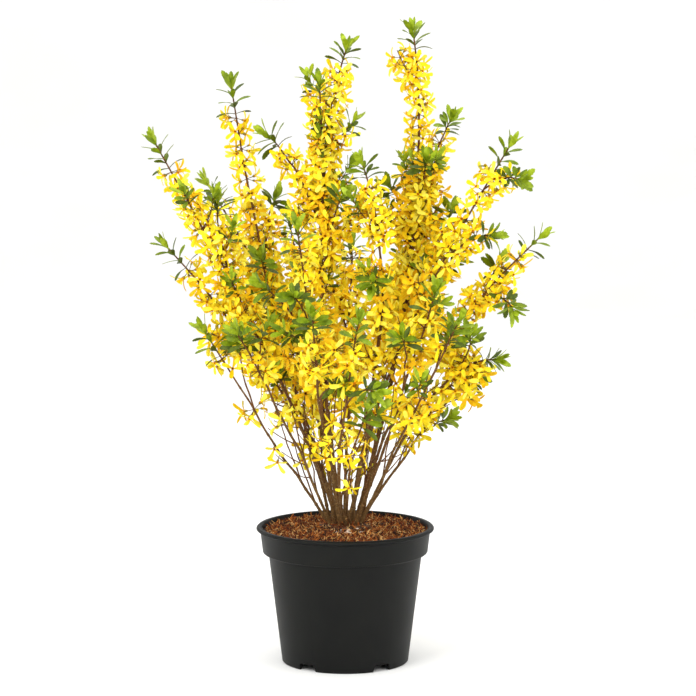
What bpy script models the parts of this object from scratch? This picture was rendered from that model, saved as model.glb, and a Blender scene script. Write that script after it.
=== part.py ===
"""A border forsythia in full flower, in a round black nursery pot.

Sizes are in metres, +Z is up, and the origin is the middle of the pot's underside.
The canes rise from a ring of feet on the root crown. Each cane is one smooth curve from its
foot through a named middle point to its tip. Its lower part is a bare bough. From there on it
is the stem of a mass of side shoots, flowers and leaf tufts, which keeps to the space that lies
nearer to its own shoots than to any other cane.
"""
import math
import random

import bmesh
import bpy
import numpy as np
from mathutils import Matrix, Vector

# Pot, as a moulded five litre container
POT_HEIGHT = 0.1775
RIM_RADIUS = 0.115
LIP_HEIGHT = 0.005
COLLAR_TOP_RADIUS = 0.1100
COLLAR_FOOT_RADIUS = 0.1068
COLLAR_FOOT_HEIGHT = 0.1445
BODY_TOP_RADIUS = 0.0992
BODY_TOP_HEIGHT = 0.1420
FOOT_RADIUS = 0.0818
WALL = 0.0024
EDGE = 0.0012
RIM_ROUND = 0.0020
LIP_INSET = 0.0022
STEP_WALL = 0.0025
FILLET_TOP = 0.016
FILLET_WALL = 0.006
FOOT_RIB = 0.0045
BASE_HEIGHT = 0.0085
FLOOR_HEIGHT = 0.011
PAD_RADIUS = 0.034
PAD_DRAFT = 0.003
POT_SIDES = 32

# Openings round the foot and in the base
NOTCH_COUNT = 5
NOTCH_WIDTH = 0.027
NOTCH_HEIGHT = 0.0092
NOTCH_DEPTH = 0.016
NOTCH_TOP_SHARE = 0.82
NOTCH_FOOT_SHARE = 1.12
OVERCUT = 0.002
FIRST_NOTCH = 305.3
DRAIN_COUNT = 8
DRAIN_RADIUS = 0.0055
DRAIN_RING = 0.056
DRAIN_DEPTH = 0.012

# Soil and root crown
SOIL_EDGE_HEIGHT = 0.1720
SOIL_TOP = 0.1740
SOIL_FLAT_RADIUS = 0.048
SOIL_SHOULDER_RADIUS = 0.080
SOIL_SHOULDER_DROP = 0.0008
CROWN_RADIUS = 0.0335
CROWN_TOP_RADIUS = 0.0290
CROWN_HEIGHT = 0.0060
CROWN_SIDES = 20
CROWN_BACK = 0.010
# Lobes round the crown: how many, share of its radius, phase
CROWN_LOBES = ((3, 0.030, 0.6), (5, 0.025, 0.0))
CLEARANCE = 0.0003

# Canes
FOOT_LEVEL = SOIL_TOP + CLEARANCE + CROWN_HEIGHT + CLEARANCE
OUTER_RING = 0.0220
INNER_RING = 0.0105
CANE_TAPER = 0.55
FLARE = 0.25
FLARE_HEIGHT = 0.010
BOUGH_SHARE_OF_RISE = 0.45
BOUGH_LONGEST_RISE = 0.125
BOUGH_RINGS = 5
BOUGH_BELOW_CUT = 0.004
STEM_RING_STEP = 0.06
FEWEST_STEM_RINGS = 4
SHOOT_RINGS = 4
SAMPLE_STEP = 0.0025
LENGTH_STEPS = 24

# Side shoots: a shoot leaves its cane past the bough's end, and arches by a share of its reach
SEED = 61
SHOOT_RADIUS = 0.0018
SHOOT_TIP_RADIUS = 0.0013
SHOOT_ARCH = 0.22
LISTED_FORK_PAST_BOUGH = 0.06
SEEDED_FORK_PAST_BOUGH = 0.08
LAST_FORK = 0.80
SHOOT_SHORTEST = 0.045
SHOOT_LONGEST = 0.085
SHOOT_AHEAD = 0.75
SHOOT_ASIDE = 0.66
FEWEST_SHOOTS = 1
SEEDED_TRIES = 12
SEEDED_SHOOT_ROOM = 0.022
LISTED_SHOOT_ROOM = 0.010
SPACE_MARGIN = 0.0012
FAR_AWAY = 9.0
ASKEW = Vector((0.31, 0.95, 0.05))

# Flowers, larger than life: one stands for about four, angles in degrees
FLOWER_STEP = 0.045
FLOWER_STEP_SPREAD = 0.15
FLOWER_START = 0.012
FLOWER_REACH = 0.0275
FLOWER_NECK = 0.011
FLOWER_LEAN = (62, 96)
FLOWER_TRIES = 8
FULL_FLOWER_TRIES = 5
SMALL_FLOWER = 0.72
FLOWER_TRY_TURN = 47
FLOWERS_FROM_FORK = 0.1
PETAL_COUNT = 4
PETAL_END = 0.0055
PETAL_RISE = 0.003
PETAL_VALLEY = 0.0031
VALLEY_DROP = 0.0015
THROAT_RISE = 0.0008
GOLDEN_ANGLE = 137.5

# Leaves in tufts at the tips, angles in degrees
LEAF_ZONE = 0.020
LEAF_LENGTH = 0.033
LEAF_WIDTH = 0.010
LEAF_HALF_THICKNESS = 0.0008
LEAF_WIDEST = 0.52
LEAF_CURL = 0.10
LEAF_LEAN = (42, 66)
TOP_LEAF_LEAN = 12
TOP_LEAF_BELOW_TIP = 0.002
LEAF_SPACING = 0.004
LEAF_SIZES = (0.8, 1.0)
LEAF_TRIES = 6
FULL_LEAF_TRIES = 4
SMALL_LEAF = 0.75
LEAF_TRY_TURN = 33
CANE_LEAVES = 4
SHOOT_LEAVES = 3
ROOT_SINK = 0.0005

# Cane name: ring, bearing of the foot in degrees, foot radius, middle point, tip
CANES = {
    "left_lowest": (OUTER_RING, 186, 0.0021, (-0.084, -0.011, 0.277), (-0.172, -0.020, 0.421)),
    "left_front": (OUTER_RING, 208, 0.0020, (-0.079, -0.065, 0.328), (-0.131, -0.120, 0.437)),
    "left_mid": (OUTER_RING, 162, 0.0022, (-0.078, 0.018, 0.339), (-0.221, 0.030, 0.527)),
    "left_high": (INNER_RING, 182, 0.0025, (-0.091, -0.015, 0.385), (-0.234, -0.030, 0.663)),
    "left_tall": (INNER_RING, 120, 0.0030, (-0.081, 0.049, 0.409), (-0.146, 0.090, 0.727)),
    "left_back": (OUTER_RING, 138, 0.0022, (-0.058, 0.072, 0.377), (-0.175, 0.130, 0.600)),
    "mid_tall": (INNER_RING, 236, 0.0030, (-0.031, -0.010, 0.544), (-0.001, -0.010, 0.785)),
    "front_left": (OUTER_RING, 231, 0.0023, (-0.033, -0.068, 0.365), (-0.058, -0.120, 0.564)),
    "front_mid": (OUTER_RING, 253, 0.0023, (-0.030, -0.115, 0.347), (-0.039, -0.210, 0.468)),
    "front_right": (OUTER_RING, 274, 0.0021, (-0.007, -0.110, 0.278), (0.014, -0.200, 0.454)),
    "front_low": (OUTER_RING, 291, 0.0017, (0.003, -0.105, 0.254), (0.024, -0.190, 0.348)),
    "right_front_high": (INNER_RING, 292, 0.0024, (0.045, -0.040, 0.454), (0.024, -0.070, 0.644)),
    "right_inner": (OUTER_RING, 309, 0.0024, (0.063, -0.058, 0.329), (0.110, -0.100, 0.483)),
    "right_front": (OUTER_RING, 328, 0.0020, (0.072, -0.071, 0.305), (0.136, -0.130, 0.449)),
    "right_low": (OUTER_RING, 347, 0.0021, (0.106, -0.027, 0.343), (0.184, -0.050, 0.401)),
    "right_high": (INNER_RING, 346, 0.0029, (0.058, -0.011, 0.380), (0.202, -0.020, 0.659)),
    "right_far": (OUTER_RING, 5, 0.0024, (0.084, -0.004, 0.354), (0.239, -0.010, 0.544)),
    "right_lowest": (OUTER_RING, 23, 0.0020, (0.103, 0.034, 0.298), (0.166, 0.060, 0.362)),
    "right_tall": (OUTER_RING, 47, 0.0035, (0.086, 0.048, 0.523), (0.089, 0.080, 0.803)),
    "back_right": (OUTER_RING, 70, 0.0022, (0.060, 0.098, 0.384), (0.117, 0.190, 0.538)),
    "back_mid": (OUTER_RING, 92, 0.0022, (0.005, 0.117, 0.371), (0.009, 0.230, 0.513)),
    "back_left": (OUTER_RING, 114, 0.0022, (-0.040, 0.107, 0.390), (-0.075, 0.210, 0.549)),
}

# Side shoots that give the outline its tips: cane, share of it at the fork, tip
SIDE_SHOOTS = [
    ("right_tall", 0.57, (0.132, 0.022, 0.695)),
    ("right_tall", 0.53, (0.103, 0.000, 0.645)),
    ("right_tall", 0.50, (0.062, 0.098, 0.605)),
    ("mid_tall", 0.53, (-0.094, 0.020, 0.676)),
    ("mid_tall", 0.57, (-0.032, -0.045, 0.743)),
    ("mid_tall", 0.42, (-0.006, -0.052, 0.605)),
    ("right_high", 0.68, (0.135, 0.035, 0.578)),
    ("right_high", 0.93, (0.214, -0.052, 0.632)),
    ("right_high", 0.78, (0.180, -0.055, 0.560)),
    ("right_far", 0.75, (0.195, 0.030, 0.509)),
    ("right_far", 0.83, (0.209, -0.050, 0.471)),
    ("right_low", 0.70, (0.158, -0.080, 0.430)),
    ("right_lowest", 0.45, (0.126, 0.020, 0.312)),
    ("right_inner", 0.62, (0.072, -0.126, 0.436)),
    ("front_mid", 0.55, (-0.008, -0.170, 0.385)),
    ("front_left", 0.70, (-0.062, -0.142, 0.490)),
    ("front_left", 0.63, (-0.097, -0.112, 0.497)),
    ("left_tall", 0.53, (-0.107, 0.014, 0.519)),
    ("left_tall", 0.68, (-0.094, 0.112, 0.588)),
    ("left_mid", 0.70, (-0.145, -0.014, 0.500)),
    ("left_lowest", 0.70, (-0.134, -0.062, 0.425)),
    ("left_high", 0.72, (-0.163, -0.010, 0.592)),
    ("right_front_high", 0.60, (0.035, -0.100, 0.507)),
    ("back_right", 0.60, (0.070, 0.200, 0.481)),
    ("back_left", 0.60, (-0.120, 0.165, 0.486)),
    ("back_mid", 0.60, (-0.027, 0.170, 0.485)),
    ("back_mid", 0.45, (0.047, 0.150, 0.422)),
]

MATERIALS = {
    "black_pot": ("2C2D2A", 0.55),
    "mulch": ("77492C", 0.95),
    "bark": ("7D6242", 0.85),
    "blossom": ("E3C52E", 0.60),
}

for leftover in list(bpy.data.objects):
    bpy.data.objects.remove(leftover, do_unlink=True)


def new_collection(name):
    """Add an empty collection to the scene."""
    collection = bpy.data.collections.new(name)
    bpy.context.scene.collection.children.link(collection)
    return collection


PLANT = new_collection("potted_border_forsythia")
CUTTERS = new_collection("cutters")
PIECES = new_collection("pieces_to_join")
GUIDES = new_collection("guides")


def material(name):
    """A plain material from the colours named above, made once."""
    found = bpy.data.materials.get(name)
    if found:
        return found
    code, roughness = MATERIALS[name]
    shades = [int(code[i:i + 2], 16) / 255 for i in (0, 2, 4)]
    linear = [(c / 12.92) if c <= 0.04045 else ((c + 0.055) / 1.055) ** 2.4 for c in shades]
    made = bpy.data.materials.new(name)
    made.use_nodes = True
    shader = made.node_tree.nodes["Principled BSDF"]
    shader.inputs["Base Color"].default_value = (*linear, 1)
    shader.inputs["Roughness"].default_value = roughness
    shader.inputs["Metallic"].default_value = 0
    return made


def add_object(name, data, collection=PLANT, finish=None):
    """Link an object for a mesh or curve, with its material."""
    made = bpy.data.objects.new(name, data)
    collection.objects.link(made)
    if finish:
        data.materials.append(material(finish))
    return made


def evaluated_mesh(source):
    """The mesh that an object gives once its curve settings and modifiers are worked out."""
    graph = bpy.context.evaluated_depsgraph_get()
    return bpy.data.meshes.new_from_object(source.evaluated_get(graph))


def turned(name, profile, sides, finish):
    """Turn a profile of (radius, height) points about the Z axis."""
    mesh = bpy.data.meshes.new(name)
    points = [(radius, 0, height) for radius, height in profile]
    mesh.from_pydata(points, [(i, i + 1) for i in range(len(points) - 1)], [])
    made = add_object(name, mesh, finish=finish)
    screw = made.modifiers.new("turn", "SCREW")
    screw.steps = sides
    screw.render_steps = sides
    screw.use_merge_vertices = True
    screw.merge_threshold = 0.00005
    screw.use_smooth_shade = True
    return made


def outer_radius(height):
    """Outside radius of the pot's tapering body."""
    return FOOT_RADIUS + (BODY_TOP_RADIUS - FOOT_RADIUS) * height / BODY_TOP_HEIGHT


def build_pot():
    """Tapering pot with a stepped collar, a thick lip, a notched foot and drain holes."""
    lip_foot = POT_HEIGHT - LIP_HEIGHT
    lip_inner = COLLAR_TOP_RADIUS - WALL
    profile = [
        (0, FLOOR_HEIGHT),
        (outer_radius(FLOOR_HEIGHT) - FILLET_WALL, FLOOR_HEIGHT),
        (outer_radius(FILLET_TOP) - WALL, FILLET_TOP),
        (BODY_TOP_RADIUS - WALL, BODY_TOP_HEIGHT + STEP_WALL),
        (COLLAR_FOOT_RADIUS - WALL, COLLAR_FOOT_HEIGHT + EDGE),
        (lip_inner, POT_HEIGHT - 2 * EDGE),
        (lip_inner + EDGE, POT_HEIGHT),
        (RIM_RADIUS - RIM_ROUND, POT_HEIGHT),
        (RIM_RADIUS, POT_HEIGHT - RIM_ROUND),
        (RIM_RADIUS, lip_foot + EDGE),
        (RIM_RADIUS - LIP_INSET, lip_foot),
        (COLLAR_TOP_RADIUS, lip_foot - EDGE),
        (COLLAR_FOOT_RADIUS, COLLAR_FOOT_HEIGHT),
        (COLLAR_FOOT_RADIUS - EDGE, COLLAR_FOOT_HEIGHT - EDGE),
        (BODY_TOP_RADIUS + EDGE, BODY_TOP_HEIGHT + EDGE / 2),
        (BODY_TOP_RADIUS, BODY_TOP_HEIGHT - EDGE),
        (outer_radius(EDGE), EDGE),
        (FOOT_RADIUS - EDGE, 0),
        (FOOT_RADIUS - FOOT_RIB, 0),
        (FOOT_RADIUS - FOOT_RIB - EDGE, BASE_HEIGHT),
        (PAD_RADIUS + PAD_DRAFT, BASE_HEIGHT),
        (PAD_RADIUS, 0),
        (0, 0),
    ]
    pot = turned("pot", profile, POT_SIDES, "black_pot")
    for number in range(NOTCH_COUNT):
        add_notch(math.radians(FIRST_NOTCH + 360 / NOTCH_COUNT * number))
    for number in range(DRAIN_COUNT):
        add_drain(math.radians(360 / DRAIN_COUNT * number))
    cut = pot.modifiers.new("openings", "BOOLEAN")
    cut.operation = "DIFFERENCE"
    cut.operand_type = "COLLECTION"
    cut.collection = CUTTERS


def add_notch(bearing):
    """A cutter for one sloped-sided notch in the foot, open below."""
    shape = bmesh.new()
    bmesh.ops.create_cube(shape, size=1)
    for vertex in shape.verts:
        width = NOTCH_WIDTH * (NOTCH_TOP_SHARE if vertex.co.z > 0 else NOTCH_FOOT_SHARE)
        height = NOTCH_HEIGHT if vertex.co.z > 0 else -OVERCUT
        depth = FOOT_RADIUS - FOOT_RIB + vertex.co.x * NOTCH_DEPTH
        vertex.co = Vector((depth, vertex.co.y * width, height))
    bmesh.ops.transform(shape, matrix=Matrix.Rotation(bearing, 4, "Z"), verts=shape.verts)
    add_cutter(shape)


def add_drain(bearing):
    """A cutter for one round drain hole through the base."""
    shape = bmesh.new()
    place = Matrix.Rotation(bearing, 4, "Z") @ Matrix.Translation((DRAIN_RING, 0, BASE_HEIGHT))
    bmesh.ops.create_cone(shape, cap_ends=True, segments=8, radius1=DRAIN_RADIUS,
                          radius2=DRAIN_RADIUS, depth=DRAIN_DEPTH, matrix=place)
    add_cutter(shape)


def add_cutter(shape):
    """Store a cutter so that it is hidden and cuts from its own collection."""
    mesh = bpy.data.meshes.new("cutter")
    shape.to_mesh(mesh)
    shape.free()
    cutter = add_object("cutter", mesh, CUTTERS)
    cutter.hide_render = True
    cutter.display_type = "WIRE"


def build_soil():
    """Mulch that fills the pot to just under its lip, with a low flat-topped rise."""
    gap = WALL + 2 * CLEARANCE
    profile = [
        (0, SOIL_TOP),
        (SOIL_FLAT_RADIUS, SOIL_TOP),
        (SOIL_SHOULDER_RADIUS, SOIL_TOP - SOIL_SHOULDER_DROP),
        (COLLAR_TOP_RADIUS - gap, SOIL_EDGE_HEIGHT),
        (COLLAR_FOOT_RADIUS - gap, COLLAR_FOOT_HEIGHT + EDGE + 2 * CLEARANCE),
        (BODY_TOP_RADIUS - gap, BODY_TOP_HEIGHT + STEP_WALL + 2 * CLEARANCE),
        (outer_radius(FILLET_TOP) - gap, FILLET_TOP + 2 * CLEARANCE),
        (outer_radius(FLOOR_HEIGHT) - FILLET_WALL - EDGE, FLOOR_HEIGHT + 2 * CLEARANCE),
        (0, FLOOR_HEIGHT + 2 * CLEARANCE),
    ]
    turned("soil", profile, POT_SIDES, "mulch")


def build_root_crown():
    """Low uneven disc of old wood that the canes stand on."""
    shape = bmesh.new()
    middle = Matrix.Translation((0, 0, SOIL_TOP + CLEARANCE + CROWN_HEIGHT / 2))
    bmesh.ops.create_cone(shape, cap_ends=True, segments=CROWN_SIDES, radius1=CROWN_RADIUS,
                          radius2=CROWN_TOP_RADIUS, depth=CROWN_HEIGHT, matrix=middle)
    for vertex in shape.verts:
        angle = math.atan2(vertex.co.y, vertex.co.x)
        swell = 1 + sum(share * math.sin(lobes * angle + phase) for lobes, share, phase in CROWN_LOBES)
        vertex.co.x *= swell
        vertex.co.y = CROWN_BACK + vertex.co.y * swell
    mesh = bpy.data.meshes.new("root_crown")
    shape.to_mesh(mesh)
    shape.free()
    add_object("root_crown", mesh, finish="bark")


class Path:
    """A smooth curve from a start through a bend to an end, with a tapering radius."""

    def __init__(self, start, bend, end, radius, tip_radius):
        self.start, self.bend, self.end = Vector(start), Vector(bend), Vector(end)
        self.radius, self.tip_radius = radius, tip_radius

    def at(self, share):
        """The point at a share of the way, from 0 to 1."""
        rest = 1 - share
        return self.start * rest ** 2 + self.bend * (2 * share * rest) + self.end * share ** 2

    def heading(self, share):
        """The direction of growth at a share of the way."""
        slope = (self.bend - self.start) * (1 - share) + (self.end - self.bend) * share
        return slope.normalized()

    def thickness(self, share):
        """Radius at a share of the way."""
        return self.radius + (self.tip_radius - self.radius) * share

    def length(self, first=0.0, last=1.0):
        """Length between two shares."""
        step = (last - first) / LENGTH_STEPS
        places = [self.at(first + step * i) for i in range(LENGTH_STEPS + 1)]
        return sum((b - a).length for a, b in zip(places, places[1:]))

    def samples(self, first=0.0, last=1.0):
        """Points every few millimetres between two shares, as an array."""
        count = max(2, math.ceil(self.length(first, last) / SAMPLE_STEP))
        return np.array([self.at(first + (last - first) * i / count) for i in range(count + 1)])


def cane_path(name):
    """The centreline of a cane."""
    ring, bearing, radius, middle, tip = CANES[name]
    angle = math.radians(bearing)
    foot = Vector((ring * math.cos(angle), CROWN_BACK + ring * math.sin(angle), FOOT_LEVEL))
    bend = 2 * Vector(middle) - (foot + Vector(tip)) / 2
    return Path(foot, bend, tip, radius, radius * (1 - CANE_TAPER))


def shoot_path(parent, share, tip):
    """The centreline of a side shoot, which leaves its parent along the way it grows."""
    start = parent.at(share)
    reach = (Vector(tip) - start).length
    bend = (start + Vector(tip)) / 2 + parent.heading(share) * reach * SHOOT_ARCH
    radius = min(SHOOT_RADIUS, parent.thickness(share))
    return Path(start, bend, tip, radius, SHOOT_TIP_RADIUS)


def bough_share(path):
    """Share of a cane at which its bough ends and its mass begins."""
    rise = min(BOUGH_SHARE_OF_RISE * (path.end.z - FOOT_LEVEL), BOUGH_LONGEST_RISE)
    low, high = 0.0, 1.0
    while high - low > 0.0001:
        share = (low + high) / 2
        if path.at(share).z < FOOT_LEVEL + rise:
            low = share
        else:
            high = share
    return low


def tube(name, path, first, last, rings, section=None):
    """A tapering tube along a path, as a closed mesh object in the pieces collection."""
    data = bpy.data.curves.new(name, "CURVE")
    data.dimensions = "3D"
    data.use_fill_caps = True
    if section:
        data.bevel_mode = "OBJECT"
        data.bevel_object = section
    else:
        data.bevel_depth = 1
        data.bevel_resolution = 1
    spline = data.splines.new("POLY")
    spline.points.add(rings - 1)
    for i, point in enumerate(spline.points):
        share = first + (last - first) * i / (rings - 1)
        point.co = (*path.at(share), 1)
        point.radius = path.thickness(share)
    curve = add_object(name, data, PIECES)
    return to_mesh(curve)


def to_mesh(curve):
    """Replace a curve object by a mesh object with its caps welded on."""
    mesh = evaluated_mesh(curve)
    shape = bmesh.new()
    shape.from_mesh(mesh)
    bmesh.ops.remove_doubles(shape, verts=shape.verts, dist=0.00001)
    bmesh.ops.recalc_face_normals(shape, faces=shape.faces)
    shape.to_mesh(mesh)
    shape.free()
    name, place, holders = curve.name, curve.matrix_world.copy(), curve.users_collection
    bpy.data.objects.remove(curve, do_unlink=True)
    made = bpy.data.objects.new(name, mesh)
    made.matrix_world = place
    for holder in holders:
        holder.objects.link(made)
    return made


def triangle_section():
    """The three-sided section of shoots, with a corner radius of one."""
    data = bpy.data.curves.new("section", "CURVE")
    spline = data.splines.new("POLY")
    spline.points.add(2)
    spline.use_cyclic_u = True
    for i, point in enumerate(spline.points):
        angle = math.tau * i / 3
        point.co = (math.cos(angle), math.sin(angle), 0, 1)
    section = add_object("section", data, GUIDES)
    section.hide_render = True
    section.display_type = "WIRE"
    return section


def build_bough(name, path, last):
    """The bare lower part of a cane, flared at its foot and cut flat at the crown."""
    lowest = -BOUGH_BELOW_CUT / path.length()
    bough = tube("cane_" + name, path, lowest, last, BOUGH_RINGS)
    shape = bmesh.new()
    shape.from_mesh(bough.data)
    for vertex in shape.verts:
        height = max(0, vertex.co.z - FOOT_LEVEL)
        swell = 1 + FLARE * math.exp(-height / FLARE_HEIGHT)
        centre = path.at(share_at_height(path, vertex.co.z))
        vertex.co.x = centre.x + (vertex.co.x - centre.x) * swell
        vertex.co.y = centre.y + (vertex.co.y - centre.y) * swell
    everything = shape.verts[:] + shape.edges[:] + shape.faces[:]
    bmesh.ops.bisect_plane(shape, geom=everything, plane_co=(0, 0, FOOT_LEVEL),
                           plane_no=(0, 0, 1), clear_inner=True)
    bmesh.ops.holes_fill(shape, edges=[e for e in shape.edges if e.is_boundary])
    bmesh.ops.recalc_face_normals(shape, faces=shape.faces)
    shape.to_mesh(bough.data)
    shape.free()
    bough.data.materials.append(material("bark"))
    PIECES.objects.unlink(bough)
    PLANT.objects.link(bough)


def share_at_height(path, height):
    """Share at which the lower part of a cane reaches a height."""
    rise = 2 * (path.bend.z - path.start.z)
    curl = path.end.z - 2 * path.bend.z + path.start.z
    drop = path.start.z - height
    if abs(curl) < 1e-6:
        return -drop / rise
    root = math.sqrt(max(0, rise ** 2 - 4 * curl * drop))
    return (root - rise) / (2 * curl)


def flower_mesh():
    """One four-petalled flower, its axis +Z and the foot of its neck just below the origin."""
    shape = bmesh.new()
    neck = shape.verts.new((0, 0, -ROOT_SINK))
    throat = shape.verts.new((0, 0, FLOWER_NECK + THROAT_RISE))
    valleys, tips = [], []
    for petal in range(PETAL_COUNT):
        turn = Matrix.Rotation(math.tau * petal / PETAL_COUNT, 3, "Z")
        valley = Vector((PETAL_VALLEY, -PETAL_VALLEY, FLOWER_NECK - VALLEY_DROP))
        valleys.append(shape.verts.new(turn @ valley))
        ends = [Vector((FLOWER_REACH, side * PETAL_END, FLOWER_NECK + PETAL_RISE)) for side in (-1, 1)]
        tips.append([shape.verts.new(turn @ end) for end in ends])
    for petal in range(PETAL_COUNT):
        right, left = valleys[petal], valleys[(petal + 1) % PETAL_COUNT]
        tip_right, tip_left = tips[petal]
        shape.faces.new((neck, left, right))
        shape.faces.new((right, left, tip_left, tip_right))
        shape.faces.new((throat, right, tip_right))
        shape.faces.new((throat, tip_right, tip_left))
        shape.faces.new((throat, tip_left, left))
    bmesh.ops.recalc_face_normals(shape, faces=shape.faces)
    bmesh.ops.triangulate(shape, faces=shape.faces)
    mesh = bpy.data.meshes.new("flower")
    shape.to_mesh(mesh)
    shape.free()
    return mesh


def leaf_mesh():
    """One leaf of eight faces along +Z from the origin, its upper side towards +X."""
    shape = bmesh.new()
    bmesh.ops.create_cone(shape, cap_ends=True, cap_tris=True, segments=4, radius1=1,
                          radius2=0, depth=1)
    for vertex in shape.verts:
        sideways, forwards = vertex.co.y, vertex.co.x
        if vertex.co.z > 0:
            vertex.co = Vector((-LEAF_CURL * LEAF_LENGTH, 0, LEAF_LENGTH))
        elif vertex.co.xy.length < 0.1:
            vertex.co = Vector((0, 0, -ROOT_SINK))
        else:
            across, along = forwards * LEAF_HALF_THICKNESS, LEAF_LENGTH * LEAF_WIDEST
            vertex.co = Vector((across, sideways * LEAF_WIDTH / 2, along))
    bmesh.ops.recalc_face_normals(shape, faces=shape.faces)
    mesh = bpy.data.meshes.new("leaf")
    shape.to_mesh(mesh)
    shape.free()
    return mesh


def probe_points(mesh):
    """Corners and edge middles of a small mesh, to test where it would lie."""
    corners = [v.co.copy() for v in mesh.vertices]
    middles = [(corners[e.vertices[0]] + corners[e.vertices[1]]) / 2 for e in mesh.edges]
    return np.array(corners + middles)


class Space:
    """The room round the canes, shared out by whose shoots lie nearest."""

    def __init__(self, canes):
        self.masses = {}
        self.boughs = {}
        for name, (path, share) in canes.items():
            self.masses[name] = [path.samples(share, 1)]
            self.boughs[name] = (path.samples(0, share), path.radius)

    def distance(self, points, samples):
        """Least distance from each point to a set of samples."""
        return np.linalg.norm(points[:, None] - samples[None], axis=2).min(axis=1)

    def others(self, owner, points):
        """Least distance from each point to any other cane or its shoots."""
        nearest = np.full(len(points), FAR_AWAY)
        for name in self.masses:
            if name != owner:
                for samples in self.masses[name] + [self.boughs[name][0]]:
                    nearest = np.minimum(nearest, self.distance(points, samples))
        return nearest

    def holds(self, owner, points):
        """Whether all the points lie in the owner's space and clear of its bough."""
        own = np.full(len(points), FAR_AWAY)
        for samples in self.masses[owner]:
            own = np.minimum(own, self.distance(points, samples))
        if (own + 2 * SPACE_MARGIN > self.others(owner, points)).any():
            return False
        bough, radius = self.boughs[owner]
        return bool((self.distance(points, bough) > radius + SPACE_MARGIN).all())


def add_shoots(canes, space):
    """Work out the side shoots of every cane: the listed ones, then seeded ones."""
    shoots = {name: [] for name in canes}
    for name, share, tip in SIDE_SHOOTS:
        path, first = canes[name]
        shoot = shoot_path(path, max(share, first + LISTED_FORK_PAST_BOUGH), tip)
        claim_shoot(name, shoot, shoots, space, LISTED_SHOOT_ROOM)
    for number, (name, (path, first)) in enumerate(canes.items()):
        dice = random.Random(SEED + number)
        for _ in range(SEEDED_TRIES):
            if len(shoots[name]) >= FEWEST_SHOOTS:
                break
            share = dice.uniform(first + SEEDED_FORK_PAST_BOUGH, LAST_FORK)
            reach = dice.uniform(SHOOT_SHORTEST, SHOOT_LONGEST)
            away = path.heading(share).orthogonal().normalized()
            away.rotate(Matrix.Rotation(dice.uniform(0, math.tau), 3, path.heading(share)))
            tip = path.at(share) + (path.heading(share) * SHOOT_AHEAD + away * SHOOT_ASIDE) * reach
            claim_shoot(name, shoot_path(path, share, tip), shoots, space, SEEDED_SHOOT_ROOM)
    return shoots


def claim_shoot(name, shoot, shoots, space, room):
    """Keep a side shoot if its outer part is clear of all other canes and its sisters."""
    outer = shoot.samples(0.5, 1)
    if space.others(name, shoot.samples()).min() < LISTED_SHOOT_ROOM:
        return
    if space.others(name, outer).min() < room:
        return
    sisters = min(space.distance(outer, samples).min() for samples in space.masses[name])
    if sisters < LISTED_SHOOT_ROOM:
        return
    shoots[name].append(shoot)
    space.masses[name].append(shoot.samples())


def place_on(path, share, bearing, lean):
    """Where something grows from a shoot: its Z axis leans out from the way of growth."""
    ahead = path.heading(share)
    sideways = ahead.cross(ASKEW).normalized()
    sideways.rotate(Matrix.Rotation(bearing, 3, ahead))
    out = (ahead * math.cos(lean) + sideways * math.sin(lean)).normalized()
    inwards = (ahead - out * ahead.dot(out)).normalized()
    frame = Matrix((inwards, out.cross(inwards), out)).transposed()
    return Matrix.Translation(path.at(share)) @ frame.to_4x4()


def add_copy(mesh, place):
    """Add a placed copy of a small mesh to the pieces that are to be joined."""
    copy = mesh.copy()
    copy.transform(place)
    add_object(mesh.name, copy, PIECES)


def grow_flowers(owner, path, first, dice, space, flower, probes):
    """Flowers in a spiral along a shoot, up to where its leaves begin."""
    whole = path.length(first, 1)
    reach = FLOWER_START
    bearing = dice.uniform(0, math.tau)
    while reach < whole - LEAF_ZONE:
        share = first + (1 - first) * reach / whole
        for attempt in range(FLOWER_TRIES):
            turn = bearing + math.radians(FLOWER_TRY_TURN * attempt)
            size = 1.0 if attempt < FULL_FLOWER_TRIES else SMALL_FLOWER
            lean = math.radians(dice.uniform(*FLOWER_LEAN))
            roll = Matrix.Rotation(dice.uniform(0, math.tau / PETAL_COUNT), 4, "Z")
            place = place_on(path, share, turn, lean) @ roll @ Matrix.Scale(size, 4)
            points = np.array([place @ Vector(p) for p in probes])[1:]
            if space.holds(owner, points):
                add_copy(flower, place)
                break
        bearing += math.radians(GOLDEN_ANGLE)
        reach += FLOWER_STEP * dice.uniform(1 - FLOWER_STEP_SPREAD, 1 + FLOWER_STEP_SPREAD)


def grow_tuft(owner, path, count, dice, space, leaf, probes):
    """A tuft of leaves about the tip of a shoot: one upright, the others spreading."""
    bearing = dice.uniform(0, math.tau)
    for number in range(count):
        share = 1 - (TOP_LEAF_BELOW_TIP + LEAF_SPACING * number) / path.length()
        for attempt in range(LEAF_TRIES):
            lean = math.radians(TOP_LEAF_LEAN if number == 0 else dice.uniform(*LEAF_LEAN))
            size = dice.uniform(*LEAF_SIZES) * (1.0 if attempt < FULL_LEAF_TRIES else SMALL_LEAF)
            turn = bearing + math.radians(LEAF_TRY_TURN * attempt)
            place = place_on(path, share, turn, lean) @ Matrix.Scale(size, 4)
            points = np.array([place @ Vector(p) for p in probes])[1:]
            if space.holds(owner, points):
                add_copy(leaf, place)
                break
        bearing += math.tau / max(2, count - 1) if number else 0


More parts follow.
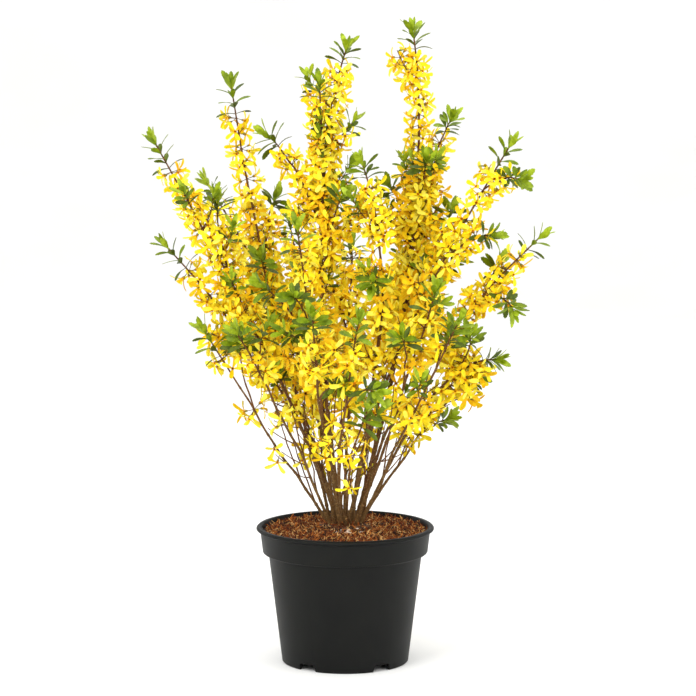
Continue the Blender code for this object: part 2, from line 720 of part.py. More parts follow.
def build_mass(name, path, first, shoots, space, section, flower, leaf):
    """One mass: a stem that goes on from the bough, its shoots, flowers and leaves, joined."""
    dice = random.Random("mass " + name)
    begin = first + CLEARANCE / path.length()
    stem_rings = max(FEWEST_STEM_RINGS, round(path.length(begin, 1) / STEM_RING_STEP))
    stem = tube("blossom_" + name, path, begin, 1, stem_rings, section)
    for shoot in shoots:
        tube("shoot", shoot, 0, 1, SHOOT_RINGS, section)
    flower_probes, leaf_probes = probe_points(flower), probe_points(leaf)
    grow_tuft(name, path, CANE_LEAVES, dice, space, leaf, leaf_probes)
    grow_flowers(name, path, begin, dice, space, flower, flower_probes)
    for shoot in shoots:
        grow_tuft(name, shoot, SHOOT_LEAVES, dice, space, leaf, leaf_probes)
        grow_flowers(name, shoot, FLOWERS_FROM_FORK, dice, space, flower, flower_probes)
    PIECES.objects.unlink(stem)
    PLANT.objects.link(stem)
    join_pieces(stem)
    stem.data.materials.append(material("blossom"))


def join_pieces(stem):
    """Join all the pieces to a stem by one union, and remove them."""
    union = stem.modifiers.new("join", "BOOLEAN")
    union.operation = "UNION"
    union.operand_type = "COLLECTION"
    union.collection = PIECES
    joined = evaluated_mesh(stem)
    stem.modifiers.clear()
    stem.data = joined
    for piece in list(PIECES.objects):
        bpy.data.objects.remove(piece, do_unlink=True)
    keep_main_body(joined)


def keep_main_body(mesh):
    """Drop loose scraps and sealed hollows, which are bodies apart from the largest."""
    shape = bmesh.new()
    shape.from_mesh(mesh)
    unseen = set(shape.faces)
    bodies = []
    while unseen:
        front = [unseen.pop()]
        body = []
        while front:
            face = front.pop()
            body.append(face)
            for edge in face.edges:
                for neighbour in edge.link_faces:
                    if neighbour in unseen:
                        unseen.remove(neighbour)
                        front.append(neighbour)
        bodies.append(body)
    bodies.sort(key=len)
    for body in bodies[:-1]:
        bmesh.ops.delete(shape, geom=body, context="FACES")
    shape.to_mesh(mesh)
    shape.free()


def build_plant():
    """All the canes, each as a bough and a mass."""
    canes = {}
    for name in CANES:
        path = cane_path(name)
        canes[name] = (path, bough_share(path))
    space = Space(canes)
    shoots = add_shoots(canes, space)
    section = triangle_section()
    flower, leaf = flower_mesh(), leaf_mesh()
    for name, (path, share) in canes.items():
        build_bough(name, path, share)
        build_mass(name, path, share, shoots[name], space, section, flower, leaf)
    bpy.data.objects.remove(section, do_unlink=True)


build_pot()
build_soil()
build_root_crown()
build_plant()
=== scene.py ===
"""The looks of a border forsythia in full flower, in a black nursery pot.

Sizes are in metres, +Z is up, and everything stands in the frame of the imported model. The canes
and their side shoots follow the same rule as the solids do, with the same seeds, and are carried
on to finer twigs, life-size flowers and toothed leaves within the same reach.
"""
import math
import random

import bmesh
import bpy
import numpy as np
from mathutils import Matrix, Vector, noise


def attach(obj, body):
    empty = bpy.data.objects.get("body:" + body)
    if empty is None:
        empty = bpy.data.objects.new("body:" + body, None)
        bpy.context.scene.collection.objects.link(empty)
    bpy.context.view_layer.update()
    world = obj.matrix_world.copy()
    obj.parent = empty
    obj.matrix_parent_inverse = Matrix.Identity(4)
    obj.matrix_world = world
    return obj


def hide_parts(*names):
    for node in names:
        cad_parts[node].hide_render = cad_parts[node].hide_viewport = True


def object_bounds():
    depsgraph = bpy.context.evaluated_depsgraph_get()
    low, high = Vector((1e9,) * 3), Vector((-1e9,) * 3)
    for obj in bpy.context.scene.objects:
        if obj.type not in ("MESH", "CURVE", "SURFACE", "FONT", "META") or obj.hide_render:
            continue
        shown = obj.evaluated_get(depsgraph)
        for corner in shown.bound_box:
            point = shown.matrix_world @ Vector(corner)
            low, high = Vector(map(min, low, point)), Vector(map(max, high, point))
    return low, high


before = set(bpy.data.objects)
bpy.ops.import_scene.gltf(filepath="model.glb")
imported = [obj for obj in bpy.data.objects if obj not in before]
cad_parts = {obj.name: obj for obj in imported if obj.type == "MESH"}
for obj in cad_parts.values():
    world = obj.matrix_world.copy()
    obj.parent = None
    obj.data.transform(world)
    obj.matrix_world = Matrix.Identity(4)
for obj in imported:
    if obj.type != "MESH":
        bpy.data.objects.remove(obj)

CAD_LOW, CAD_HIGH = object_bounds()
bpy.ops.object.select_all(action="DESELECT")

# Pot, as a moulded five litre container; bearings and other angles in degrees
POT_HEIGHT = 0.1775
RIM_RADIUS = 0.115
LIP_HEIGHT = 0.005
COLLAR_TOP_RADIUS = 0.1100
COLLAR_FOOT_RADIUS = 0.1068
COLLAR_FOOT_HEIGHT = 0.1445
BODY_TOP_RADIUS = 0.0992
BODY_TOP_HEIGHT = 0.1420
FOOT_RADIUS = 0.0818
WALL = 0.0024
EDGE = 0.0012
RIM_ROUND = 0.0020
LIP_INSET = 0.0022
STEP_WALL = 0.0025
FILLET_TOP = 0.016
FILLET_WALL = 0.006
FOOT_RIB = 0.0045
BASE_HEIGHT = 0.0085
FLOOR_HEIGHT = 0.011
PAD_RADIUS = 0.034
PAD_DRAFT = 0.003
POT_SIDES = 144
POT_EDGE = 0.0005
POT_BEVELLED_ABOVE = 24
POT_SMOOTH_BELOW = 30
NOTCH_COUNT = 5
NOTCH_WIDTH = 0.027
NOTCH_HEIGHT = 0.0092
NOTCH_DEPTH = 0.016
NOTCH_TOP_SHARE = 0.82
NOTCH_FOOT_SHARE = 1.12
NOTCH_ROUND = 0.0018
NOTCH_ROUND_STEPS = 3
FIRST_NOTCH = 305.3
DRAIN_COUNT = 8
DRAIN_RADIUS = 0.0055
DRAIN_RING = 0.056
DRAIN_DEPTH = 0.012
DRAIN_SIDES = 24

# Soil and root crown; clods and knobs are noise, of a size, a height and shares of them
SOIL_EDGE_HEIGHT = 0.1720
SOIL_TOP = 0.1740
SOIL_SIDES = 96
SOIL_RINGS = 26
SOIL_BELOW_FIBRES = 0.0012
CLOD_SIZE = 0.009
CLOD_HEIGHT = 0.0022
FINE_CLOD_SHARE = 0.35
FINE_CLOD_SHIFT = Vector((7, 3, 0))
CLOD_WEIGHTS = (0.6, 0.4)
CLODS_ON_CROWN = 0.5
CROWN_RADIUS = 0.0335
CROWN_TOP_RADIUS = 0.0290
CROWN_HEIGHT = 0.0060
CROWN_BACK = 0.010
CROWN_BANK = 0.012
CROWN_SIDES = 48
CROWN_RINGS = 7
CROWN_RING_SHARE = 0.12
CROWN_ROUNDING = 0.5
CROWN_SINK = 0.0006
CROWN_SMOOTH_BELOW = 50
KNOB_SIZE = 0.008
KNOB_HEIGHT = 0.0014
KNOB_SPREAD = 18
CLEARANCE = 0.0003

# Loose mulch on the soil, angles in radians but for the bends, which are in degrees
FIBRE_LENGTH = 0.0082
FIBRE_RADIUS = 0.00032
FIBRE_BENDS = (-130, -70, 40, 95, 160)
FIBRE_TWIST = 0.6
FIBRE_SIZES = (0.55, 1.3)
STRAND_CUTS = 2
# Ends of a strand, drawn in: level on a strand of unit length, share of its radius
STRAND_ENDS = ((0, 0.5), (1, 0.4))
SHRED_WIDTH = 2.2
SHRED_THICKNESS = 0.5
CRUMB_RADIUS = 0.0011
CRUMB_SIZES = (0.5, 1.3)
CRUMB_ROUGHNESS = 0.28
CRUMB_SEED = 3
CRUMB_SHAPE = (1, 0.8, 0.6)
FIBRE_COUNT = 5200
SHRED_COUNT = 1500
CRUMB_COUNT = 1100
MULCH_TILT = 0.20
MULCH_ROLL = 6
MULCH_LEVELS = (-0.0006, 0.0012)
MULCH_FROM_WALL = 0.004
MULCH_GAP = 0.0005
CHIP_COUNT = 16
CHIP_SIZES = (0.0012, 0.0026)
CHIP_SHAPE = (1.3, 0.8, 0.9)
CHIP_LIFT = 0.001
# Middle and scatter of the pale chips, across and along
CHIP_SCATTER = ((0.002, 0.011), (-0.030, 0.004))
# Materials of the mulch by their place in the piece, and how often each loose brown turns up
DARK_SOIL, RED_BROWN, ORANGE_BROWN, LIGHT_TAN, UMBER, PALE_CHIP = range(6)
LOOSE_BROWNS = (RED_BROWN, ORANGE_BROWN, LIGHT_TAN, UMBER)
BROWN_WEIGHTS = (0.33, 0.22, 0.14, 0.31)

# Canes and side shoots, as in the solids: a cane leaves its ring on the root crown, and a shoot
# leaves its cane past the bough's end and arches by a share of its reach
FOOT_LEVEL = SOIL_TOP + CLEARANCE + CROWN_HEIGHT + CLEARANCE
OUTER_RING = 0.0220
INNER_RING = 0.0105
CANE_TAPER = 0.55
FLARE = 0.25
FLARE_HEIGHT = 0.010
BOUGH_SHARE_OF_RISE = 0.45
BOUGH_LONGEST_RISE = 0.125
SEED = 61
SHOOT_RADIUS = 0.0018
SHOOT_TIP_RADIUS = 0.0013
SHOOT_ARCH = 0.22
LISTED_FORK_PAST_BOUGH = 0.06
SEEDED_FORK_PAST_BOUGH = 0.08
LAST_FORK = 0.80
SHOOT_SHORTEST = 0.045
SHOOT_LONGEST = 0.085
SHOOT_AHEAD = 0.75
SHOOT_ASIDE = 0.66
FEWEST_SHOOTS = 1
SEEDED_TRIES = 12
SEEDED_SHOOT_ROOM = 0.022
LISTED_SHOOT_ROOM = 0.010
OUTER_PART = 0.5
SAMPLE_STEP = 0.0025
LENGTH_STEPS = 24
FORK_STEPS = 200
FAR_AWAY = 9.0
ASKEW = Vector((0.31, 0.95, 0.05))

# Finer wood: joints a finger's width apart, each a little swollen and set with a pair of buds.
# Joints and buds are in shares of the internode and of the wood's radius
INTERNODE = 0.0160
CANE_SIDES = 10
CANE_CUTS = 7
TWIG_SIDES = 6
TWIG_CUTS = 3
JOINT_PLACE = 0.90
JOINT_SWELL = 0.17
JOINT_SPREAD = 0.07
WAIST = 0.035
BUD_HEIGHT = 0.34
BUD_NARROWING = 0.45
BUD_LIFT = 0.03
FINE_CANE_TIP = 0.0010
FINE_SHOOT_TIP = 0.0008
TIP_GROWTH = 0.0105
CANE_SWAY = 0.0030
SHOOT_SWAY = 0.0016
SWAY_WAVES = (1.7, 3.1, 5.3)
# Age colours the bark: of a cane's foot, its loss up to the tip, and of a twig's foot
CANE_AGES = (0.72, 1.18)
CANE_YOUTH_AT_TIP = 0.9
TWIG_AGE = 0.30
WELD = 0.00002

# Spurs stand along the wood and whips rise from its foot. How far they go ahead, aside or upright
# is in shares of their own reach
SPUR_RADIUS = 0.0010
SPUR_TIP_RADIUS = 0.0006
SPUR_CHANCE = 0.28
SPUR_REACHES = (0.022, 0.048)
SPUR_AHEAD = (0.5, 0.9)
SPUR_ASIDE = 0.7
SPUR_BEND_AHEAD = 0.25
SPUR_BEND_ASIDE = 0.6
SPUR_BEND_REACH = 0.6
SPUR_CLEAR_FROM = 0.4
SPUR_TIP_GROWTH = 0.0075
SPURS_END_BELOW_TIP = 4
WHIPS_TRIED = 2
WHIP_FORKS = (0.02, 0.34)
WHIP_RADIUS = 0.0012
WHIP_REACHES = (0.060, 0.130)
WHIP_STEEPNESS = 1.2
WHIP_AHEAD = 0.7
WHIP_UPRIGHT = 0.7
WHIP_ASIDE = 0.2
WHIP_ARCH = 0.06
WHIP_CLEAR_FROM = 0.3
TWIG_ROOM = 0.005

# Where flowers stand: few near the root crown, many higher up, in clumps with open wood between.
# Distances away are from the root crown
TUFT_ROOM = 0.018
FLOWER_ROOM = 0.0080
FLOWERS_A_BUD = (3, 4, 5, 6)
FLOWERS_A_BUD_WEIGHTS = (0.22, 0.34, 0.28, 0.16)
FLOWER_SIZES = (0.92, 1.10)
LARGE_FLOWERS_AWAY = 0.16
SMALL_FLOWERS_AWAY = 0.50
SMALLER_AT_TIPS = 0.13
FRONT_OPENNESS = 0.45
FIRST_FLOWER_AWAY = 0.060
FULL_FLOWER_AWAY = 0.34
FLOWER_RISE = 1.9
CLUMP_SIZE = 0.032
CLUMP_MIDDLE = 0.5
CLUMP_CONTRAST = 1.4
CLUMP_FLOOR = 0.17
CLUMP_FUZZ = 0.09
FULL_BELOW_TUFT = 0.120
FULL_ENOUGH = 0.5
# How a flower stands on its bud: lean in degrees, swing, hang, foot in the wood, depth past its rim
FLOWER_LEANS = (50, 114)
FLOWER_SWING = 0.5
FLOWER_HANG = 0.45
FLOWER_SINK = 0.6
FLOWER_DEPTH = 0.003

# Flower parts: strap-shaped petals on a short tube, which a calyx and a thin stalk hold
PETAL_LENGTH = 0.0166
PETAL_WIDTH = 0.0060
PETAL_CHANNEL = 0.0009
INNER_PETAL_SHARE = 0.20
SEPAL_LENGTH = 0.0042
SEPAL_WIDTH = 0.0018
SEPAL_LEAN = 22
SEPAL_BEND = 10
SEPAL_AWAY = 0.0009
BUD_SCALE_RADIUS = 0.0010
BUD_SCALE_FOOT = -0.0008
BUD_SCALE_TOP = 0.0018
PEDICEL_LENGTH = 0.0084
PEDICEL_RADIUS = 0.00045
PEDICEL_TOP_RADIUS = 0.0005
CALYX_FOOT = PEDICEL_LENGTH - 0.0004
CALYX_TOP = PEDICEL_LENGTH + 0.0010
CALYX_RADIUS = 0.0012
TUBE_LENGTH = 0.0050
THROAT_RADIUS = 0.0019
STALK_SIDES = 5
FLOWER_RIM = PEDICEL_LENGTH + TUBE_LENGTH

# How the four petals of a flower open: lean at the rim and further turn, in degrees
OPENINGS = [
    (52, 38), (60, 26), (66, 34), (74, 12), (46, 46), (38, 40), (82, 22), (58, 60), (30, 22),
    (70, 44),
]
PETAL_LEAN_SPREAD = 9
PETAL_BEND_SPREAD = 12
PETAL_TWIST = 26
PETAL_SIZES = (0.9, 1.05)
PETAL_SWING = 0.12
PETAL_FOOT_SHARE = 0.80
PETAL_SINK = 0.0004

# Slots of a flower pattern: its four petals, their inner thirds, throat, calyx and stalk
PETAL_SLOTS = (0, 1, 2, 3)
INNER_PETAL, THROAT, CALYX, STALK = 4, 5, 6, 7

# Materials of a blossom piece by their place in it, and how often a flower or petal takes each
LEMON, BRIGHT, GOLDEN, AMBER, ORANGE, CALYX_GREEN, STALK_BROWN = range(7)
TINTS = (LEMON, BRIGHT, GOLDEN, AMBER)
TINT_WEIGHTS = (0.28, 0.38, 0.23, 0.11)
TINT_SHIFTS = (-1, 0, 1)
TINT_SHIFT_WEIGHTS = (0.18, 0.6, 0.22)

# Leaf parts; only a leaf's tip may pass the box of the solids, to the sides
LEAF_LENGTH = 0.0270
LEAF_WIDTH = 0.0088
LEAF_FOLD = 0.0009
TOOTH = 0.10
LEAF_TIP_SLACK = 0.010

# Levels of a leaf tuft, from the top down: distance above the tip, lean and bend in degrees,
# size, and material of the leaf: paler greens on top and darker ones lower down, partly the
# younger and older leaves' own colour and partly painted light and painted shade
TUFT_LEVELS = [
    (0.0100, 7, 12, 0.84, 0),
    (0.0085, 18, 16, 0.96, 0),
    (0.0060, 31, 20, 1.00, 0),
    (0.0020, 46, 24, 0.96, 1),
    (-0.0025, 38, 28, 0.80, 1),
    (-0.0070, 58, 30, 1.00, 1),
    (-0.0120, 50, 34, 0.82, 2),
    (-0.0170, 70, 44, 0.98, 2),
]
# Spurs carry smaller tufts: none under the lowest height, and more above the high one
SPUR_TUFT_LEVELS = TUFT_LEVELS[1:7]
SPUR_TUFT_SIZE = 0.84
SPUR_TUFT_CHANCE = 0.22
HIGH_SPUR_TUFT_CHANCE = 0.80
LOWEST_TUFT = 0.32
HIGH_SPUR = 0.48
# How leaves differ from the levels' lean, bend, twist, size and bearing
TUFT_TURN = 0.45
LEAF_LEAN_SPREAD = 8
LEAF_BEND_SPREAD = (-10, 14)
LEAF_TWIST = 48
LEAF_SIZES = (0.86, 1.06)
LEAF_SWING = 0.3
# A leaf may take the next darker green, at random; the darker greens are partly painted shade
DARKER_LEAF_CHANCE = 0.25
DARKEST_LEAF = 2

# Places on a piece of unit size that lie nearer than this count as one
SAME = 0.001

# Camera, as far as the photograph's own view gives it; lens and sensor in millimetres
CAMERA_PLACE = (0.0036, -4.0, 0.931)
CAMERA_TILT_DOWN = 7.43
CAMERA_LENS = 162.3
SENSOR_WIDTH = 36

# Floor, from the top of its far rise to the level ground: radius and height
FLOOR_PROFILE = [(5.5, 4.0), (5.4, 1.2), (4.9, 0.35), (4.0, 0.0)]
FLOOR_SIDES = 96
FLOOR_SMOOTH_BELOW = 60

# Soft lights: name, place, width of the square and power; all face one point in the crown
SOFTBOXES = [
    ("key_softbox", (-1.5, -1.9, 2.1), 1.6, 42),
    ("fill_softbox", (1.9, -1.6, 1.3), 1.8, 20),
    ("front_softbox", (0.1, -2.6, 1.9), 1.4, 14),
    ("top_softbox", (0.1, 0.4, 2.7), 2.0, 26),
]
LIT_POINT = Vector((0, 0, 0.45))

# Cane name: ring, bearing of the foot in degrees, foot radius, middle point, tip
CANES = {
    "left_lowest": (OUTER_RING, 186, 0.0021, (-0.084, -0.011, 0.277), (-0.172, -0.020, 0.421)),
    "left_front": (OUTER_RING, 208, 0.0020, (-0.079, -0.065, 0.328), (-0.131, -0.120, 0.437)),
    "left_mid": (OUTER_RING, 162, 0.0022, (-0.078, 0.018, 0.339), (-0.221, 0.030, 0.527)),
    "left_high": (INNER_RING, 182, 0.0025, (-0.091, -0.015, 0.385), (-0.234, -0.030, 0.663)),
    "left_tall": (INNER_RING, 120, 0.0030, (-0.081, 0.049, 0.409), (-0.146, 0.090, 0.727)),
    "left_back": (OUTER_RING, 138, 0.0022, (-0.058, 0.072, 0.377), (-0.175, 0.130, 0.600)),
    "mid_tall": (INNER_RING, 236, 0.0030, (-0.031, -0.010, 0.544), (-0.001, -0.010, 0.785)),
    "front_left": (OUTER_RING, 231, 0.0023, (-0.033, -0.068, 0.365), (-0.058, -0.120, 0.564)),
    "front_mid": (OUTER_RING, 253, 0.0023, (-0.030, -0.115, 0.347), (-0.039, -0.210, 0.468)),
    "front_right": (OUTER_RING, 274, 0.0021, (-0.007, -0.110, 0.278), (0.014, -0.200, 0.454)),
    "front_low": (OUTER_RING, 291, 0.0017, (0.003, -0.105, 0.254), (0.024, -0.190, 0.348)),
    "right_front_high": (INNER_RING, 292, 0.0024, (0.045, -0.040, 0.454), (0.024, -0.070, 0.644)),
    "right_inner": (OUTER_RING, 309, 0.0024, (0.063, -0.058, 0.329), (0.110, -0.100, 0.483)),
    "right_front": (OUTER_RING, 328, 0.0020, (0.072, -0.071, 0.305), (0.136, -0.130, 0.449)),
    "right_low": (OUTER_RING, 347, 0.0021, (0.106, -0.027, 0.343), (0.184, -0.050, 0.401)),
    "right_high": (INNER_RING, 346, 0.0029, (0.058, -0.011, 0.380), (0.202, -0.020, 0.659)),
    "right_far": (OUTER_RING, 5, 0.0024, (0.084, -0.004, 0.354), (0.239, -0.010, 0.544)),
    "right_lowest": (OUTER_RING, 23, 0.0020, (0.103, 0.034, 0.298), (0.166, 0.060, 0.362)),
    "right_tall": (OUTER_RING, 47, 0.0035, (0.086, 0.048, 0.523), (0.089, 0.080, 0.803)),
    "back_right": (OUTER_RING, 70, 0.0022, (0.060, 0.098, 0.384), (0.117, 0.190, 0.538)),
    "back_mid": (OUTER_RING, 92, 0.0022, (0.005, 0.117, 0.371), (0.009, 0.230, 0.513)),
    "back_left": (OUTER_RING, 114, 0.0022, (-0.040, 0.107, 0.390), (-0.075, 0.210, 0.549)),
}

# Side shoots that give the outline its tips: cane, share of it at the fork, tip
SIDE_SHOOTS = [
    ("right_tall", 0.57, (0.132, 0.022, 0.695)),
    ("right_tall", 0.53, (0.103, 0.000, 0.645)),
    ("right_tall", 0.50, (0.062, 0.098, 0.605)),
    ("mid_tall", 0.53, (-0.094, 0.020, 0.676)),
    ("mid_tall", 0.57, (-0.032, -0.045, 0.743)),
    ("mid_tall", 0.42, (-0.006, -0.052, 0.605)),
    ("right_high", 0.68, (0.135, 0.035, 0.578)),
    ("right_high", 0.93, (0.214, -0.052, 0.632)),
    ("right_high", 0.78, (0.180, -0.055, 0.560)),
    ("right_far", 0.75, (0.195, 0.030, 0.509)),
    ("right_far", 0.83, (0.209, -0.050, 0.471)),
    ("right_low", 0.70, (0.158, -0.080, 0.430)),
    ("right_lowest", 0.45, (0.126, 0.020, 0.312)),
    ("right_inner", 0.62, (0.072, -0.126, 0.436)),
    ("front_mid", 0.55, (-0.008, -0.170, 0.385)),
    ("front_left", 0.70, (-0.062, -0.142, 0.490)),
    ("front_left", 0.63, (-0.097, -0.112, 0.497)),
    ("left_tall", 0.53, (-0.107, 0.014, 0.519)),
    ("left_tall", 0.68, (-0.094, 0.112, 0.588)),
    ("left_mid", 0.70, (-0.145, -0.014, 0.500)),
    ("left_lowest", 0.70, (-0.134, -0.062, 0.425)),
    ("left_high", 0.72, (-0.163, -0.010, 0.592)),
    ("right_front_high", 0.60, (0.035, -0.100, 0.507)),
    ("back_right", 0.60, (0.070, 0.200, 0.481)),
    ("back_left", 0.60, (-0.120, 0.165, 0.486)),
    ("back_mid", 0.60, (-0.027, 0.170, 0.485)),
    ("back_mid", 0.45, (0.047, 0.150, 0.422)),
]

# Blossom is joined side by side of the crown: piece, and how its canes' names begin
BLOSSOM_SIDES = {
    "blossom_left": ("left",),
    "blossom_middle": ("mid", "front"),
    "blossom_right": ("right",),
    "blossom_back": ("back",),
}


# Materials

def linear(code):
    """An sRGB hex colour as linear red, green, blue and alpha."""
    shades = [int(code[i:i + 2], 16) / 255 for i in (0, 2, 4)]
    return (*[c / 12.92 if c <= 0.04045 else ((c + 0.055) / 1.055) ** 2.4 for c in shades], 1)


def per_metre(millimetres):
    """Texture scale for a pattern whose features are this many millimetres apart."""
    return 1000 / millimetres


def add_node(material, kind, settings=None, sockets=None, stops=None):
    """Add a node. A socket takes a value or another node's output; stops are a ramp's colours."""
    tree = material.node_tree
    made = tree.nodes.new(kind)
    for name, value in (settings or {}).items():
        setattr(made, name, value)
    for name, value in (sockets or {}).items():
        if isinstance(value, bpy.types.NodeSocket):
            tree.links.new(value, made.inputs[name])
        else:
            made.inputs[name].default_value = value
    for number, (place, code) in enumerate(stops or []):
        ramp = made.color_ramp.elements
        stop = ramp[number] if number < 2 else ramp.new(place)
        stop.position = place
        stop.color = linear(code)
    return made


def new_material(name, sockets):
    """A Principled material, its constants on the shader's own sockets."""
    material = bpy.data.materials.new(name)
    material.use_nodes = True
    shader = material.node_tree.nodes["Principled BSDF"]
    for socket, value in sockets.items():
        shader.inputs[socket].default_value = value
    return material


def wire(material, source, socket):
    """Lead a node's output to a socket of the material's shader."""
    shader = material.node_tree.nodes["Principled BSDF"]
    material.node_tree.links.new(source, shader.inputs[socket])


def mottled(name, low, high, spot, bump_spot, bump_height, sockets):
    """Two close colours in soft spots, and a fine relief, both in the piece's own space."""
    material = new_material(name, sockets)
    place = add_node(material, "ShaderNodeTexCoord").outputs["Object"]
    spots = add_node(material, "ShaderNodeTexNoise", {},
                     {"Vector": place, "Scale": per_metre(spot), "Detail": 3.0})
    colour = add_node(material, "ShaderNodeValToRGB", {}, {"Fac": spots.outputs["Fac"]},
                      [(0.35, low), (0.65, high)])
    wire(material, colour.outputs["Color"], "Base Color")
    grain = add_node(material, "ShaderNodeTexNoise", {},
                     {"Vector": place, "Scale": per_metre(bump_spot), "Detail": 2.0})
    relief = add_node(material, "ShaderNodeBump", {},
                      {"Height": grain.outputs["Fac"], "Strength": 0.5,
                       "Distance": bump_height / 1000})
    wire(material, relief.outputs["Normal"], "Normal")
    return material


def petal_skin(name, low, high):
    """Live petal: a thin soft skin of domed cells, matt, with a faint bloom at grazing angles."""
    return mottled(name, low, high, 9, 2.4, 0.12,
                   {"Roughness": 0.6, "IOR": 1.35, "Specular IOR Level": 0.3})


def leaf_skin(name, low, high):
    """Young leaf: a waxy skin over green flesh, so it shines softly and its colour is uneven."""
    return mottled(name, low, high, 7, 1.8, 0.18,
                   {"Roughness": 0.48, "IOR": 1.42, "Specular IOR Level": 0.32})


def coir(name, low, high):
    """Coconut fibre and bark fines: dry, rough and dull, each strand of one brown."""
    return mottled(name, low, high, 5, 1.0, 0.15, {"Roughness": 0.92, "IOR": 1.4})


def young_bark():
    """Thin bark: reddish brown at the tips, dull brown lower down, with pale raised pores."""
    material = new_material("young_bark", {"Roughness": 0.8, "IOR": 1.4})
    age = add_node(material, "ShaderNodeAttribute", {"attribute_name": "age"}).outputs["Fac"]
    place = add_node(material, "ShaderNodeTexCoord").outputs["Object"]
    drawn_out = add_node(material, "ShaderNodeMapping", {},
                         {"Vector": place, "Scale": (1, 1, 0.25)}).outputs["Vector"]
    streaks = add_node(material, "ShaderNodeTexNoise", {},
                       {"Vector": drawn_out, "Scale": per_metre(2.4), "Detail": 4.0})
    worn = add_node(material, "ShaderNodeMath", {"operation": "MULTIPLY_ADD"},
                    {0: streaks.outputs["Fac"], 1: 1.5, 2: age})
    tone = add_node(material, "ShaderNodeMath", {"operation": "SUBTRACT"},
                    {0: worn.outputs["Value"], 1: 0.75})
    colour = add_node(material, "ShaderNodeValToRGB", {}, {"Fac": tone.outputs["Value"]},
                      [(0.0, "4E280A"), (1.0, "78582F"), (0.22, "6C4216"), (0.5, "64421A"),
                       (0.75, "5E411C")])
    pores = add_node(material, "ShaderNodeTexVoronoi", {},
                     {"Vector": place, "Scale": per_metre(2.6)})
    dots = add_node(material, "ShaderNodeValToRGB", {}, {"Fac": pores.outputs["Distance"]},
                    [(0.12, "FFFFFF"), (0.24, "000000")])
    pale = add_node(material, "ShaderNodeMix", {"data_type": "RGBA"},
                    {0: dots.outputs["Color"], 6: colour.outputs["Color"], 7: linear("A08A62")})
    wire(material, pale.outputs[2], "Base Color")
    ridges = add_node(material, "ShaderNodeMath", {"operation": "MULTIPLY_ADD"},
                      {0: dots.outputs["Color"], 1: 0.6, 2: streaks.outputs["Fac"]})
    relief = add_node(material, "ShaderNodeBump", {},
                      {"Height": ridges.outputs["Value"], "Strength": 0.7, "Distance": 0.0004})
    wire(material, relief.outputs["Normal"], "Normal")
    return material


def old_wood():
    """Root crown: weathered wood and caked soil, dark in the cracks."""
    return mottled("old_wood", "2E1A0D", "6A4A2E", 4, 1.6, 0.6, {"Roughness": 0.9})


def moulded_polypropylene():
    """Injection-moulded black polypropylene: a fine matt grain that spreads the light softly."""
    material = new_material("moulded_black_polypropylene",
                            {"IOR": 1.49, "Specular IOR Level": 0.155})
    place = add_node(material, "ShaderNodeTexCoord").outputs["Object"]
    clouds = add_node(material, "ShaderNodeTexNoise", {},
                      {"Vector": place, "Scale": per_metre(38), "Detail": 3.0})
    colour = add_node(material, "ShaderNodeValToRGB", {}, {"Fac": clouds.outputs["Fac"]},
                      [(0.3, "0A0B0A"), (0.7, "0F100E")])
    wire(material, colour.outputs["Color"], "Base Color")
    dullness = add_node(material, "ShaderNodeMapRange", {},
                        {"Value": clouds.outputs["Fac"], "To Min": 0.46, "To Max": 0.58})
    wire(material, dullness.outputs["Result"], "Roughness")
    grain = add_node(material, "ShaderNodeTexNoise", {},
                     {"Vector": place, "Scale": per_metre(0.9), "Detail": 1.0})
    relief = add_node(material, "ShaderNodeBump", {},
                      {"Height": grain.outputs["Fac"], "Strength": 0.25, "Distance": 0.0001})
    wire(material, relief.outputs["Normal"], "Normal")
    return material


def studio_paint():
    """Matt white studio floor paint, rolled on, so it has a faint orange-peel relief."""
    return mottled("matt_white_floor_paint", "F4F4F2", "F9F9F8", 400, 6, 0.05, {"Roughness": 0.9})


# Modelling by hand

def select_alone(piece):
    """Select one piece and nothing else."""
    bpy.ops.object.select_all(action="DESELECT")
    piece.select_set(True)
    bpy.context.view_layer.objects.active = piece


def open_for_editing(piece):
    """Select a piece alone and enter edit mode."""
    select_alone(piece)
    bpy.ops.object.mode_set(mode="EDIT")


def started(name):
    """The primitive that was just added, named, with its place and size in its mesh."""
    piece = bpy.context.object
    piece.name = name
    bpy.ops.object.transform_apply(location=True, rotation=True, scale=True)
    return piece


def linked(name, data):
    """A new object of the scene that shows some data."""
    made = bpy.data.objects.new(name, data)
    bpy.context.scene.collection.objects.link(made)
    return made


def pick(kind, test):
    """In edit mode, select the corners, edges or faces whose middle passes a test."""
    bpy.ops.mesh.select_mode(type=kind)
    bpy.ops.mesh.select_all(action="DESELECT")
    mesh = bpy.context.object.data
    shape = bmesh.from_edit_mesh(mesh)
    for part in {"VERT": shape.verts, "EDGE": shape.edges, "FACE": shape.faces}[kind]:
        corners = [part.co] if kind == "VERT" else [corner.co for corner in part.verts]
        if test(sum(corners, Vector()) / len(corners)):
            part.select_set(True)
    shape.select_flush_mode()
    bmesh.update_edit_mesh(mesh)


def apply_modifier(piece, kind, **settings):
    """Add a modifier with its settings and apply it."""
    select_alone(piece)
    modifier = piece.modifiers.new(kind.lower(), kind)
    for name, value in settings.items():
        setattr(modifier, name, value)
    bpy.ops.object.modifier_apply(modifier=modifier.name)


def smooth_up_to(piece, degrees):
    """Shade a piece smooth except across sharper edges."""
    select_alone(piece)
    bpy.ops.object.shade_smooth_by_angle(angle=math.radians(degrees))


